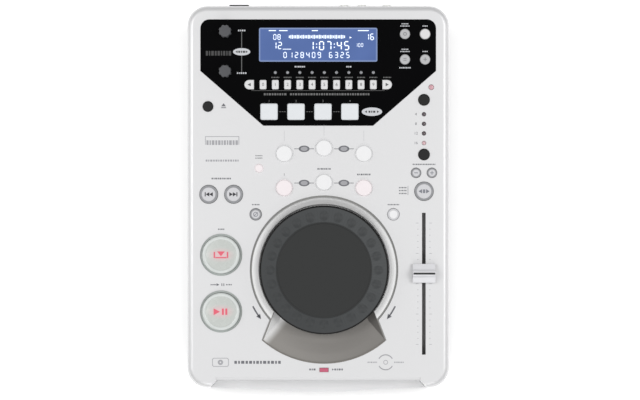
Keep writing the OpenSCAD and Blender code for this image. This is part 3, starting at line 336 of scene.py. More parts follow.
def silver_paint(name="silver_paint", painted_light_gain=1.0):
    """Silver-white paint with fine flakes and a clear coat, with painted shade in the fader slot and the collars;
    it can be made lighter as painted light.
    """
    finish = Finish(name, metallic=0.4, coat_weight=1.0, coat_roughness=0.2)
    local, across, back, out = finish.place()
    flakes = finish.noise(local, 4.0, 3.0)
    cloud = finish.noise(local, 0.02, 2.0)
    paint = finish.mix(finish.step(flakes, 0.3, 0.7), shade(colours().paint, 0.965 * painted_light_gain),
                       shade(colours().paint, 1.02 * painted_light_gain))
    paint = finish.mix(cloud * 0.5, paint, shade(colours().paint, 0.96 * painted_light_gain))
    # Painted shade: the walls of the fader slot below the deck are painted a darker grey.
    slot_side, slot_front, slot_rear = (2.4, 1.9), (20.0, 24.0), (150.0, 147.0)
    slot_shade = finish.step(abs(across - spot("fader_cap").u), *slot_side) * finish.step(out, -0.25, -0.6)
    slot_shade = slot_shade * finish.step(back, *slot_front) * finish.step(back, *slot_rear)
    paint = finish.mix(slot_shade, paint, tone(176))
    # Painted shade: the recessed collars round the two large buttons are painted a darker grey-green.
    for node in ("cue_button", "play_button"):
        u, v, half, _ = spot(node)
        collar = finish.step(distance(across - u, back - v), half + 2.2, half + 1.9)
        paint = finish.mix(collar * finish.step(out, -0.3, -0.6), paint, tone(178, 184, 181))
    finish.set(base_color=paint, roughness=0.4 + 0.1 * cloud + 0.06 * flakes)
    finish.relief(finish.noise(local, 1.1, 2.0), 0.04, 0.5)
    return finish


def textured_plastic(name, screen, grain=2.2, depth=0.08, rough=0.6):
    """Moulded plastic with a fine spark-eroded grain."""
    finish = Finish(name, specular_ior_level=0.3)
    local, _, _, _ = finish.place(space=FRAME_MM)
    grains = finish.noise(local, grain, 3.0)
    cloud = finish.noise(local, 0.03, 2.0)
    finish.set(base_color=finish.mix(cloud, shade(screen, 0.88), shade(screen, 1.1)),
               roughness=rough - 0.1 + 0.2 * grains)
    finish.relief(grains, depth, 0.6)
    return finish


def rubber(name, screen):
    """Rubber with a dull skin and a little dust."""
    finish = Finish(name, specular_ior_level=0.3)
    local, _, _, _ = finish.place(space=FRAME_MM)
    dust = finish.step(finish.noise(local, 0.35, 4.0), 0.52, 0.72)
    finish.set(base_color=finish.mix(dust * 0.35, screen, shade(tone(120), 0.6)),
               roughness=0.75 + 0.15 * dust)
    finish.relief(finish.noise(local, 3.0, 2.0), 0.06, 0.5)
    return finish


def plated_metal(name, screen, rough=0.3):
    """Plated sheet or turned metal with fine drawn lines."""
    finish = Finish(name, metallic=1.0)
    local, _, _, _ = finish.place(space=FRAME_MM)
    lines = finish.noise(finish.stretched(local, 6.0, 0.25, 6.0), 1.0, 2.0)
    stain = finish.noise(local, 0.06, 3.0)
    finish.set(base_color=finish.mix(stain, shade(screen, 0.9), screen),
               roughness=rough + 0.15 * lines + 0.1 * stain)
    finish.relief(lines, 0.02, 0.5)
    return finish


def socket_metal():
    """Nickel sockets, with a ring of coloured insulation at the mouth of each phono socket."""
    finish = Finish("socket_nickel")
    local, x, y, z = finish.place(space=FRAME_MM)
    tarnish = finish.noise(local, 0.4, 3.0)
    body = finish.mix(tarnish, tone(176, 176, 172), tone(206, 206, 202))
    insulated = 0.0
    mounts = {mount["name"]: mount for mount in frame["record"]["mounts"]}
    for name, screen in (("phono_out_1", tone(228)), ("phono_out_2", tone(178, 30, 30)),
                         ("phono_digital", tone(24))):
        middle = Vector(mounts[name]["pos_m"]) / MM
        mouth = finish.step(distance(x - middle.x, z - middle.z), 3.2, 3.05)
        mouth = mouth * finish.step(y, middle.y - 2.5, middle.y - 2.0)
        body = finish.mix(mouth, body, screen)
        insulated = insulated + mouth
    finish.set(base_color=body, metallic=1.0 - insulated, roughness=0.25 + 0.15 * tarnish)
    return finish


def gloss_window():
    """Gloss black panel with faint dust, smears and a faint waviness."""
    finish = Finish("window_gloss", specular_ior_level=0.08)
    local, _, _, _ = finish.place()
    dust = finish.step(finish.noise(local, 1.4, 2.0), 0.7, 0.78)
    smear = finish.noise(local, 0.05, 3.0)
    finish.set(base_color=finish.mix(dust * 0.25, colours().window, tone(70)),
               roughness=0.08 + 0.1 * smear + 0.3 * dust)
    finish.relief(finish.noise(local, 0.08, 1.0), 0.02, 0.3)
    return finish


def lit_display():
    """Blue backlit display with a pale frost along its edges and a fine dot grid."""
    low, high = deck_box("lcd_module", BELOW_WINDOW)
    half_w = (high.x - low.x) / 2
    half_l = (high.y - low.y) / 2
    finish = Finish("display_blue", specular_ior_level=0.2)
    local, across, back, _ = finish.place((low.x + high.x) / 2, (low.y + high.y) / 2)
    corner, dot_pitch = 1.6, 0.8
    edge = distance(finish.math("MAXIMUM", abs(across) - (half_w - corner), 0.0),
                    finish.math("MAXIMUM", abs(back) - (half_l - corner), 0.0)) - corner
    frost = finish.step(edge, -corner, -0.2)
    grid = finish.math("MAXIMUM", finish.math("SINE", across * (FULL_TURN / dot_pitch)),
                       finish.math("SINE", back * (FULL_TURN / dot_pitch)))
    grid = finish.step(grid, 0.85, 1.0)
    cloud = finish.noise(local, 0.04, 1.0)
    blue = finish.mix(cloud, shade(colours().display, 0.9), shade(colours().display, 1.12))
    blue = finish.mix(grid * 0.25, blue, shade(colours().display, 0.7))
    blue = finish.mix(frost * 0.6, blue, tone(150, 166, 198))
    blue = finish.mix(finish.step(edge, -0.1, 0.15), blue, colours().window)
    finish.set(base_color=blue, emission_color=blue, emission_strength=0.18,
               roughness=0.25 + 0.1 * cloud)
    return finish


def turned_ring():
    """Spun silver ring with its groove painted dark as shade, and a satin finger scoop with slanted sides; light
    and shade are painted on both: the ring near white on its inner half and darker at its rear, the scoop floor
    lighter on the left and darker on the right, its left side lit and its right side shaded, its edge dark, and
    black where the wheel covers the ring.
    """
    finish = Finish("turned_ring")
    local, across, back, out = finish.place(WHEEL_U, WHEEL_V)
    radius = distance(across, back)
    turned = finish.node("ShaderNodeTexNoise", {"noise_dimensions": "1D"}, {"W": radius, "Scale": 9.0})
    fine = finish.noise(local, 2.5, 3.0)
    ring = finish.mix(turned, shade(colours().ring, 0.95), colours().ring)
    lit_inner_half, shaded_outer_half, groove = (57.5, 53.0), (54.0, 58.0), (59.4, 59.7)
    # Painted shade: the rear part of the ring is painted darker, most on its outer half, and made more metallic.
    shaded_rear_arch = finish.step(back, 18.0, 48.0)
    shaded_rear_arch_tone = finish.mix(finish.step(radius, *shaded_outer_half), shade(colours().ring, 0.93),
                           shade(colours().ring, 0.78))
    # Painted light: the inner half of the ring is painted near white against the wheel's shadow.
    ring = finish.mix(finish.step(radius, *lit_inner_half), ring, tone(253))
    ring = finish.mix(shaded_rear_arch, ring, shaded_rear_arch_tone)
    # Painted shade: the flange in the groove outside the ring is painted a dark grey.
    ring = finish.mix(finish.step(radius, *groove), ring, tone(138, 138, 136))
    slant, front_slant = 0.87, 0.387
    beside = abs(across) + back * slant
    left = finish.step(across, 5.0, -5.0)
    # Painted light and shade: the scoop floor is painted lighter on the left and darker on the right.
    floor = finish.mix(finish.step(across, -45.0, 45.0), shade(colours().scoop, 1.1),
                       shade(colours().scoop, 0.84))
    floor = finish.mix(fine * 0.25, floor, shade(colours().scoop, 0.85))
    # Painted light: next to its left side the floor is painted nearly as light as the ring.
    floor = finish.mix(finish.step(beside, -10.0, 0.5) * left * 0.8, floor, shade(colours().ring, 0.86))
    # Painted light and shade: the left side takes the light ring colour and the right side a dark scoop colour.
    wall = finish.mix(left, shade(colours().scoop, 0.62), shade(colours().ring, 0.95))
    hollow = finish.mix(finish.step(beside, -0.6, 0.6), floor, wall)
    scoop_side, scoop_rear, below_deck = (28.1, 27.9), (-33.0, -34.0), (-0.15, -0.5)
    front = finish.step(abs(across) + back * front_slant, *scoop_side) * finish.step(back, *scoop_rear)
    in_scoop = finish.step(out, *below_deck) * front
    # Painted shade: along the scoop's edge at deck level the ring is painted dark.
    rim = front * (1 - in_scoop) * finish.step(radius, WHEEL_R + 1.0, WHEEL_R + 1.2)
    body = finish.mix(in_scoop, finish.mix(rim, ring, tone(118, 114, 108)), hollow)
    # Painted shade: where the wheel covers the ring it is painted nearly black.
    body = finish.mix(finish.step(radius, WHEEL_R - 0.4, WHEEL_R - 0.2), tone(18), body)
    finish.set(base_color=body, metallic=(0.1 + 0.6 * shaded_rear_arch) * (1 - in_scoop) + 0.32 * in_scoop,
               roughness=0.42 + 0.08 * turned + 0.05 * fine)
    finish.relief(turned + 0.2 * fine, 0.03, 0.4)
    return finish


def wheel_plastic():
    """Dark wheel: black rim, lighter dimpled finger ring with painted light towards the back right and painted
    shade in its dimples, and a plain middle with turning lines.
    """
    finish = Finish("wheel_plastic", specular_ior_level=0.16)
    local, across, back, _ = finish.place(WHEEL_U, WHEEL_V)
    radius = distance(across, back)
    turn = finish.math("ARCTAN2", back, across)
    dimples, dimple_edge, ribs = 24, (4.1, 3.3), 120.0
    ring_edge = (WHEEL_R * 0.737, WHEEL_R * 0.745)
    rim_edge = (WHEEL_R * 0.972, WHEEL_R * 0.98)
    middle = WHEEL_R * 0.853
    share = finish.math("FRACT", turn * (dimples / FULL_TURN) + (dimples + 0.5)) - 0.5
    from_dimple = distance(share * (FULL_TURN * middle / dimples), radius - middle)
    dimple = finish.step(from_dimple, *dimple_edge)
    on_ring = finish.step(radius, *ring_edge)
    rib = 0.5 + 0.5 * finish.math("SINE", turn * ribs)
    # Painted light: the finger ring is painted lighter towards the back right and darker towards the front left.
    lit = finish.step(across + back * 0.5, -45.0, 50.0)
    grains = finish.noise(local, 2.4, 3.0)
    lines = finish.node("ShaderNodeTexNoise", {"noise_dimensions": "1D"}, {"W": radius, "Scale": 3.0})
    body = finish.mix(grains, shade(colours().wheel, 0.86), shade(colours().wheel, 1.12))
    grip = finish.mix(lit, shade(colours().grip, 0.84), shade(colours().grip, 1.14))
    # Painted shade: the dimples are painted darker; the faint radial ribs are a darker pattern.
    grip = finish.mix(dimple * 0.5 + rib * 0.2, grip, shade(colours().grip, 0.8))
    rim = finish.step(radius, *rim_edge)
    body = finish.mix(on_ring, body, grip)
    body = finish.mix(rim, body, tone(20))
    finish.set(base_color=body, roughness=0.4 + 0.1 * grains - 0.06 * rim + 0.05 * lines)
    finish.relief(grains + 0.6 * lines, 0.04, 0.45)
    return finish


def button_plastic(name, screen, rough=0.38, lit=0.0):
    """Translucent moulded button with a faint haze, whose foot may glow as painted light."""
    finish = Finish(name)
    local, _, _, out = finish.place()
    haze = finish.noise(local, 0.18, 3.0)
    skin = finish.noise(local, 3.5, 2.0)
    body = finish.mix(haze, shade(screen, 0.96), screen)
    finish.set(base_color=body, roughness=rough + 0.12 * skin)
    # Painted light: the foot glows in the button's own colour to brighten the shaded gap round it.
    if lit:
        finish.set(emission_color=finish.mix(finish.step(out, 1.2, 0.2), tone(0), screen),
                   emission_strength=lit)
    finish.relief(skin, 0.02, 0.35)
    return finish


def ringed_button(node, rim, ring_tone, face_tone):
    """Pale face inside a darker ring, told apart by the distance from the button's middle."""
    u, v, half, _ = spot(node)
    finish = Finish("ringed_" + node, metallic=0.1)
    local, across, back, _ = finish.place(u, v)
    radius = distance(across, back)
    dark = finish.step(radius, half - rim - 0.15, half - rim + 0.15)
    skin = finish.noise(local, 3.0, 2.0)
    face = finish.mix(skin, shade(face_tone, 0.94), face_tone)
    ring = finish.mix(skin, shade(ring_tone, 0.85), ring_tone)
    finish.set(base_color=finish.mix(dark, face, ring), roughness=0.36 + 0.14 * skin - 0.08 * dark)
    finish.relief(skin, 0.02, 0.35)
    return finish


def lens_button(node):
    """Silver collar with a greenish lens that glows pink round its symbol."""
    u, v, half, _ = spot(node)
    lens_edge = half * 0.806
    finish = Finish("lens_" + node, coat_weight=0.6, coat_roughness=0.05)
    local, across, back, out = finish.place(u, v)
    radius = distance(across, back)
    spread = (across * across * 0.55 + back * back * 1.9) ** 0.5
    glow = finish.step(spread, 9.5, 1.0)
    collar = finish.step(radius, lens_edge, lens_edge + 0.4)
    side = finish.step(radius, half - 0.9, half - 0.3)
    haze = finish.noise(local, 0.25, 3.0)
    lens = finish.mix(haze, shade(colours().lens, 0.95), colours().lens)
    lens = finish.mix(glow * 0.45, lens, tone(222, 168, 176))
    metal = finish.mix(haze, tone(200, 205, 202), tone(214, 218, 216))
    body = finish.mix(collar, lens, metal)
    body = finish.mix(side * finish.step(out, 3.4, 2.6), body, tone(186, 191, 188))
    finish.set(base_color=body, roughness=0.22 + 0.1 * haze + 0.1 * collar,
               emission_color=finish.mix(glow, tone(0), tone(226, 120, 140)), emission_strength=0.14)
    finish.relief(haze, 0.03, 0.2)
    return finish


def print_ink(name, screen, lit=0.0):
    """Printed ink with slightly uneven cover."""
    finish = Finish(name)
    local, _, _, _ = finish.place()
    cover = finish.noise(local, 2.0, 3.0)
    body = finish.mix(cover, shade(screen, 0.9), shade(screen, 1.08))
    finish.set(base_color=body, roughness=0.5 + 0.2 * cover)
    if lit:
        finish.set(emission_color=body, emission_strength=lit)
    return finish


def lamp_lens(name, screen, lit):
    """Clear tinted lens, brighter in its haze."""
    finish = Finish(name, coat_weight=0.5, coat_roughness=0.05)
    local, _, _, _ = finish.place()
    haze = finish.noise(local, 0.8, 2.0)
    body = finish.mix(haze, shade(screen, 0.8), shade(screen, 1.15))
    finish.set(base_color=body, emission_color=body, emission_strength=lit, roughness=0.15 + 0.15 * haze)
    return finish


def circuit_board():
    """Green board with paler traces, and clear lamps that stand through the deck."""
    finish = Finish("board_green")
    local, across, _, out = finish.place()
    traces = finish.math("SINE", across * 2.1 + finish.noise(local, 0.05, 1.0) * 30.0)
    board = finish.mix(finish.step(traces, 0.6, 0.8), tone(20, 84, 48), tone(44, 120, 70))
    over_board, over_switches = (-15.6, -15.2), (-9.5, -9.0)
    board = finish.mix(finish.step(out, *over_board), board, tone(34))
    board = finish.mix(finish.step(out, *over_switches), board, tone(214, 216, 214))
    finish.set(base_color=board, roughness=0.35 + 0.2 * finish.noise(local, 0.6, 2.0))
    return finish


def studio_floor():
    """Plain pale floor with the faintest unevenness."""
    finish = Finish("studio_floor", roughness=0.9, specular_ior_level=0.0)
    local, _, _, _ = finish.place(space=FRAME_MM)
    pale = finish.mix(finish.noise(local, 0.004, 1.0), tone(246), tone(250))
    finish.set(base_color=pale, emission_color=pale, emission_strength=0.32)
    return finish


# ---------------------------------------------------------------- shapes

def put(u, v, w=0.0, turn=0.0, scale=(1.0, 1.0, 1.0)):
    """Matrix that stretches a shape, turns it on the deck and moves it to its place."""
    stretch = Matrix.Diagonal((*scale, 1.0))
    return Matrix.Translation((u, v, w)) @ Matrix.Rotation(turn, 4, "Z") @ stretch


def lathe(bm, u, v, profile, closed=False, segments=64):
    """Turns a profile of radius and height about an upright axis."""
    foot = Vector((u, v, 0.0))
    verts = [bm.verts.new(foot + Vector((radius, 0.0, height))) for radius, height in profile]
    pairs = list(zip(verts, verts[1:]))
    if closed:
        pairs.append((verts[-1], verts[0]))
    edges = [bm.edges.new(pair) for pair in pairs]
    bmesh.ops.spin(bm, geom=verts + edges, axis=(0, 0, 1), cent=(u, v, 0), steps=segments,
                   angle=FULL_TURN, use_merge=True)


def join(bm, other):
    """Adds one bmesh to another."""
    mesh = bpy.data.meshes.new("joined")
    other.to_mesh(mesh)
    other.free()
    bm.from_mesh(mesh)
    bpy.data.meshes.remove(mesh)


SEGMENTS_OF = {"0": "abcdef", "1": "bc", "2": "abged", "3": "abgcd", "4": "fgbc", "5": "afgcd",
               "6": "afgedc", "7": "abc", "8": "abcdefg", "9": "abcdfg"}
LEVEL_BARS = {"a": (0.5, 1.0), "g": (0.5, 0.5), "d": (0.5, 0.0)}
UPRIGHT_BARS = {"f": (0.0, 0.75), "b": (1.0, 0.75), "e": (0.0, 0.25), "c": (1.0, 0.25)}
DASH_LENGTHS = (0.9, 0.6, 1.1, 0.8, 1.0, 0.6)
DASH_GAP = 0.42
CAP_HEIGHT = 0.7


class Layer:
    """Shapes drawn in deck millimetres that all reach from one height to another."""

    def __init__(self, low, high, bm=None):
        self.bm = bmesh.new() if bm is None else bm
        self.low = low
        self.high = high

    def fill(self, u, v, width, depth, turn=0.0):
        """Matrix that makes a shape of size 1 fill a rectangle of the layer."""
        return put(u, v, (self.low + self.high) / 2, turn, (width, depth, self.high - self.low))

    def slab(self, u, v, width, depth, turn=0.0):
        bmesh.ops.create_cube(self.bm, size=1.0, matrix=self.fill(u, v, width, depth, turn))

    def disc(self, u, v, width, depth, segments=32):
        """Round or oval disc."""
        bmesh.ops.create_cone(self.bm, cap_ends=True, segments=segments, radius1=0.5, radius2=0.5,
                              depth=1.0, matrix=self.fill(u, v, width, depth))

    def hoop(self, u, v, outer, inner, segments=48, stretch=1.0):
        """Flat ring, which may be an oval."""
        made = bmesh.new()
        profile = [(outer, self.low), (outer, self.high), (inner, self.high), (inner, self.low)]
        lathe(made, 0.0, 0.0, profile, closed=True, segments=segments)
        made.transform(put(u, v, scale=(1.0, stretch, 1.0)))
        join(self.bm, made)

    def pointer(self, u, v, size, turn=0.0, slim=0.9):
        """Solid triangle that points along its turn, from the +X direction."""
        spin = Matrix.Rotation(turn, 2)
        corners = [Vector((0.5, 0.0)), Vector((-0.5, slim / 2)), Vector((-0.5, -slim / 2))]
        corners = [spin @ (corner * size) + Vector((u, v)) for corner in corners]
        face = self.bm.faces.new([self.bm.verts.new((*corner, self.low)) for corner in corners])
        made = bmesh.ops.extrude_face_region(self.bm, geom=[face])["geom"]
        top = [item for item in made if isinstance(item, bmesh.types.BMVert)]
        bmesh.ops.translate(self.bm, verts=top, vec=(0.0, 0.0, self.high - self.low))

    def stroke(self, points, width):
        """Thin line through a few points."""
        for first, second in zip(points, points[1:]):
            run = Vector(second) - Vector(first)
            middle = (Vector(first) + Vector(second)) / 2
            self.slab(middle.x, middle.y, run.length + width * 0.5, width, math.atan2(run.y, run.x))

    def arc(self, u, v, radius, turns, width):
        """Curved line through the given turns, whose points are returned."""
        points = [(u + radius * math.cos(turn), v + radius * math.sin(turn)) for turn in turns]
        self.stroke(points, width)
        return points

    def dashes(self, u, v, width, height, narrow=1.0):
        """Centred row of short dashes of uneven length; narrow below 1 makes them upright bars."""
        unit = height * narrow
        gap = unit * DASH_GAP
        run = []
        while sum(run) + gap * len(run) < width - unit * 0.5:
            run.append(unit * DASH_LENGTHS[len(run) % len(DASH_LENGTHS)])
        at = -(sum(run) + gap * (len(run) - 1)) / 2
        for wide in run:
            self.slab(u + at + wide / 2, v, wide, height)
            at += wide + gap

    def figures(self, text, u, v, height):
        """Plain numbers set in Blender's own letters."""
        curve = bpy.data.curves.new("figures", "FONT")
        curve.body = text
        curve.size = height / CAP_HEIGHT
        curve.align_x = "CENTER"
        curve.align_y = "CENTER"
        curve.resolution_u = 3
        curve.extrude = (self.high - self.low) / 2
        item = bpy.data.objects.new("figures", curve)
        bpy.context.scene.collection.objects.link(item)
        graph = bpy.context.evaluated_depsgraph_get()
        mesh = bpy.data.meshes.new_from_object(item.evaluated_get(graph))
        mesh.transform(put(u, v, (self.low + self.high) / 2))
        self.bm.from_mesh(mesh)
        bpy.data.objects.remove(item)
        bpy.data.curves.remove(curve)
        bpy.data.meshes.remove(mesh)

    def segment_figures(self, text, u, v, height, pitch=0.0):
        """Seven-segment numbers; a colon takes less room."""
        width = height * 0.5
        thick = height * 0.13
        for sign in text:
            if sign == ":":
                for lift in (0.3, 0.7):
                    self.slab(u, v + height * lift, thick, thick)
                u += width * 0.75
                continue
            for key in SEGMENTS_OF.get(sign, ""):
                if key in LEVEL_BARS:
                    aside, lift = LEVEL_BARS[key]
                    self.slab(u + aside * width, v + lift * height, width * 0.8, thick)
                else:
                    aside, lift = UPRIGHT_BARS[key]
                    self.slab(u + aside * width, v + lift * height, thick, height * 0.4)
            u += pitch or width * 1.7


# ---------------------------------------------------------------- pieces

PRINT_SINK = 0.02


def printed(top=0.0, sink=PRINT_SINK):
    """An empty layer for marks printed on a surface of this height."""
    return Layer(top - sink, top + sizes().print_rise / MM)


def finished(name, mesh, body, finish):
    """Links a mesh as one smooth object in its material and puts it on its body."""
    mesh.polygons.foreach_set("use_smooth", [True] * len(mesh.polygons))
    mesh.materials.append(finish.material)
    made = bpy.data.objects.new(name, mesh)
    bpy.context.scene.collection.objects.link(made)
    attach(made, body)
    return made


def piece(name, bm, body, finish, space=DECK):
    """Makes one finished piece of a bmesh in millimetres."""
    bmesh.ops.remove_doubles(bm, verts=bm.verts, dist=0.001)
    bmesh.ops.recalc_face_normals(bm, faces=bm.faces)
    bm.transform(space)
    mesh = bpy.data.meshes.new(name)
    bm.to_mesh(mesh)
    bm.free()
    finished(name, mesh, body, finish)
    mesh.set_sharp_from_angle(angle=SHARP)


def dress(finish, *nodes):
    """Gives CAD nodes their material."""
    for node in nodes:
        item = NODES[node]
        if not item.material_slots:
            item.data.materials.append(finish.material)
        for slot in item.material_slots:
            slot.material = finish.material


def patch_areas(bm):
    """Area of the flat patch that each face is part of."""
    areas = {}
    for face in bm.faces:
        if face in areas:
            continue
        patch, queue = {face}, [face]
        while queue:
            for edge in queue.pop().edges:
                for other in edge.link_faces:
                    if other not in patch and other.normal.angle(face.normal, 1.0) < SAME_PLANE:
                        patch.add(other)
                        queue.append(other)
        total = sum(part.calc_area() for part in patch)
        areas.update((part, total) for part in patch)
    return areas


def flowing_normals(bm, sharp):
    """A normal for each corner of a face, in which large flat patches stay flat up to their edge."""
    areas = patch_areas(bm)
    normals = []
    for face in bm.faces:
        for corner in face.loops:
            near = [loop for loop in corner.vert.link_loops
                    if loop.face.normal.angle(face.normal, 0.0) < sharp]
            most = max(areas[loop.face] for loop in near)
            flow = sum((loop.face.normal * (areas[loop.face] / most) ** 4 * loop.calc_angle()
                        for loop in near), Vector())
            normals.append(flow.normalized())
    return normals


def refine(node, finish, rounding=0.0, sharp=SHARP, segments=2):
    """A merged copy of a node with smooth curves or rounded edges, which stands for the node."""
    mesh = NODES[node].data.copy()
    bm = bmesh.new()
    bm.from_mesh(mesh)
    bmesh.ops.remove_doubles(bm, verts=bm.verts, dist=2e-6)
    if rounding:
        bmesh.ops.dissolve_limit(bm, angle_limit=NEARLY_FLAT, verts=bm.verts, edges=bm.edges)
    bm.normal_update()
    normals = None if rounding else flowing_normals(bm, sharp)
    bm.to_mesh(mesh)
    bm.free()
    mesh.materials.clear()
    made = finished(node + "_finished", mesh, BODY_OF[node], finish)
    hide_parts(node)
    if not rounding:
        mesh.normals_split_custom_set(normals)
        return
    bevel = made.modifiers.new("edges", "BEVEL")
    bevel.width = rounding
    bevel.segments = segments
    bevel.limit_method = "ANGLE"
    bevel.angle_limit = sharp
    bevel.use_clamp_overlap = True
    made.modifiers.new("normals", "WEIGHTED_NORMAL").keep_sharp = True


def mark(name, node, draw, finish, sink=PRINT_SINK):
    """A printed symbol on the top of one control, which rides with it."""
    place = spot(node)
    layer = printed(place.top, sink)
    draw(layer, place.u, place.v)
    piece(name, layer.bm, BODY_OF[node], finish)


# ---------------------------------------------------------------- symbols

def ahead(way):
    """Turn of a pointer that points to the right for a positive way and else to the left."""
    return 0.0 if way > 0 else math.pi


def skip_symbol(way):
    """Bar and two triangles that point one way."""
    def draw(layer, u, v):
        for aside in (-2.0, 0.9):
            layer.pointer(u + way * aside, v, 2.9, ahead(way), slim=1.2)
        layer.slab(u + way * 2.8, v, 0.8, 3.4)
    return draw


def play_symbol(layer, u, v):
    """Triangle and two bars, for play and pause."""
    layer.pointer(u - 3.4, v, 5.2, slim=1.05)
    for aside in (1.6, 4.4):
        layer.slab(u + aside, v, 1.6, 5.2)


def cue_symbol(layer, u, v):
    """Triangle that points down to a line, between two bars."""
    layer.pointer(u, v + 0.9, 4.0, -math.pi / 2, slim=1.6)
    layer.slab(u, v - 2.2, 9.0, 1.0)
    for way in (-1, 1):
        layer.slab(u + way * 5.4, v, 1.1, 5.0)


def minus_symbol(layer, u, v):
    layer.slab(u, v, 3.0, 0.6)


def plus_symbol(layer, u, v):
    minus_symbol(layer, u, v)
    for way in (1, -1):
        layer.slab(u, v + way * 0.95, 0.6, 1.3)


def range_symbol(layer, u, v):
    """Block between two triangles that point away from it."""
    for way in (-1, 1):
        layer.pointer(u + way * 3.1, v, 3.0, ahead(way), slim=1.2)
    layer.slab(u, v, 1.8, 3.0)


def slashed_symbol(layer, u, v):
    """Ring with a slanting line through it."""
    layer.hoop(u, v, 2.0, 1.5, segments=24)
    layer.slab(u, v, 4.4, 0.5, 0.8)


def ring_symbol(layer, u, v):
    layer.hoop(u, v, 1.5, 0.9, segments=24)


def bars_symbol(layer, u, v):
    for way in (-1, 1):
        layer.slab(u, v + way * 0.8, 2.6, 0.6)


def arrow_symbol(way):
    def draw(layer, u, v):
        layer.pointer(u, v, 2.6, ahead(way), slim=1.1)
    return draw


def number_symbol(text):
    def draw(layer, u, v):
        layer.figures(text, u, v, sizes().key_figures / MM)
    return draw


class PlayerOperator:
    """Shared settings of the operators that make pieces"""
    bl_options = {"REGISTER", "UNDO"}


class PLAYER_OT_housing(PlayerOperator, bpy.types.Operator):
    """Paint the upper shell and finish the lower shell, feet and screws"""
    bl_idname = "player.housing"
    bl_label = "Housing"

    def execute(self, context):
        refine("upper_shell", silver_paint(), sharp=SHARP_ON_SHELLS)
        refine("base_pan", textured_plastic("pan_plastic", colours().pan), sharp=SHARP_ON_SHELLS)
        dress(rubber("foot_rubber", tone(34)), "feet")
        dress(plated_metal("zinc_plate", tone(190, 192, 198)), "case_screws")
        return {"FINISHED"}


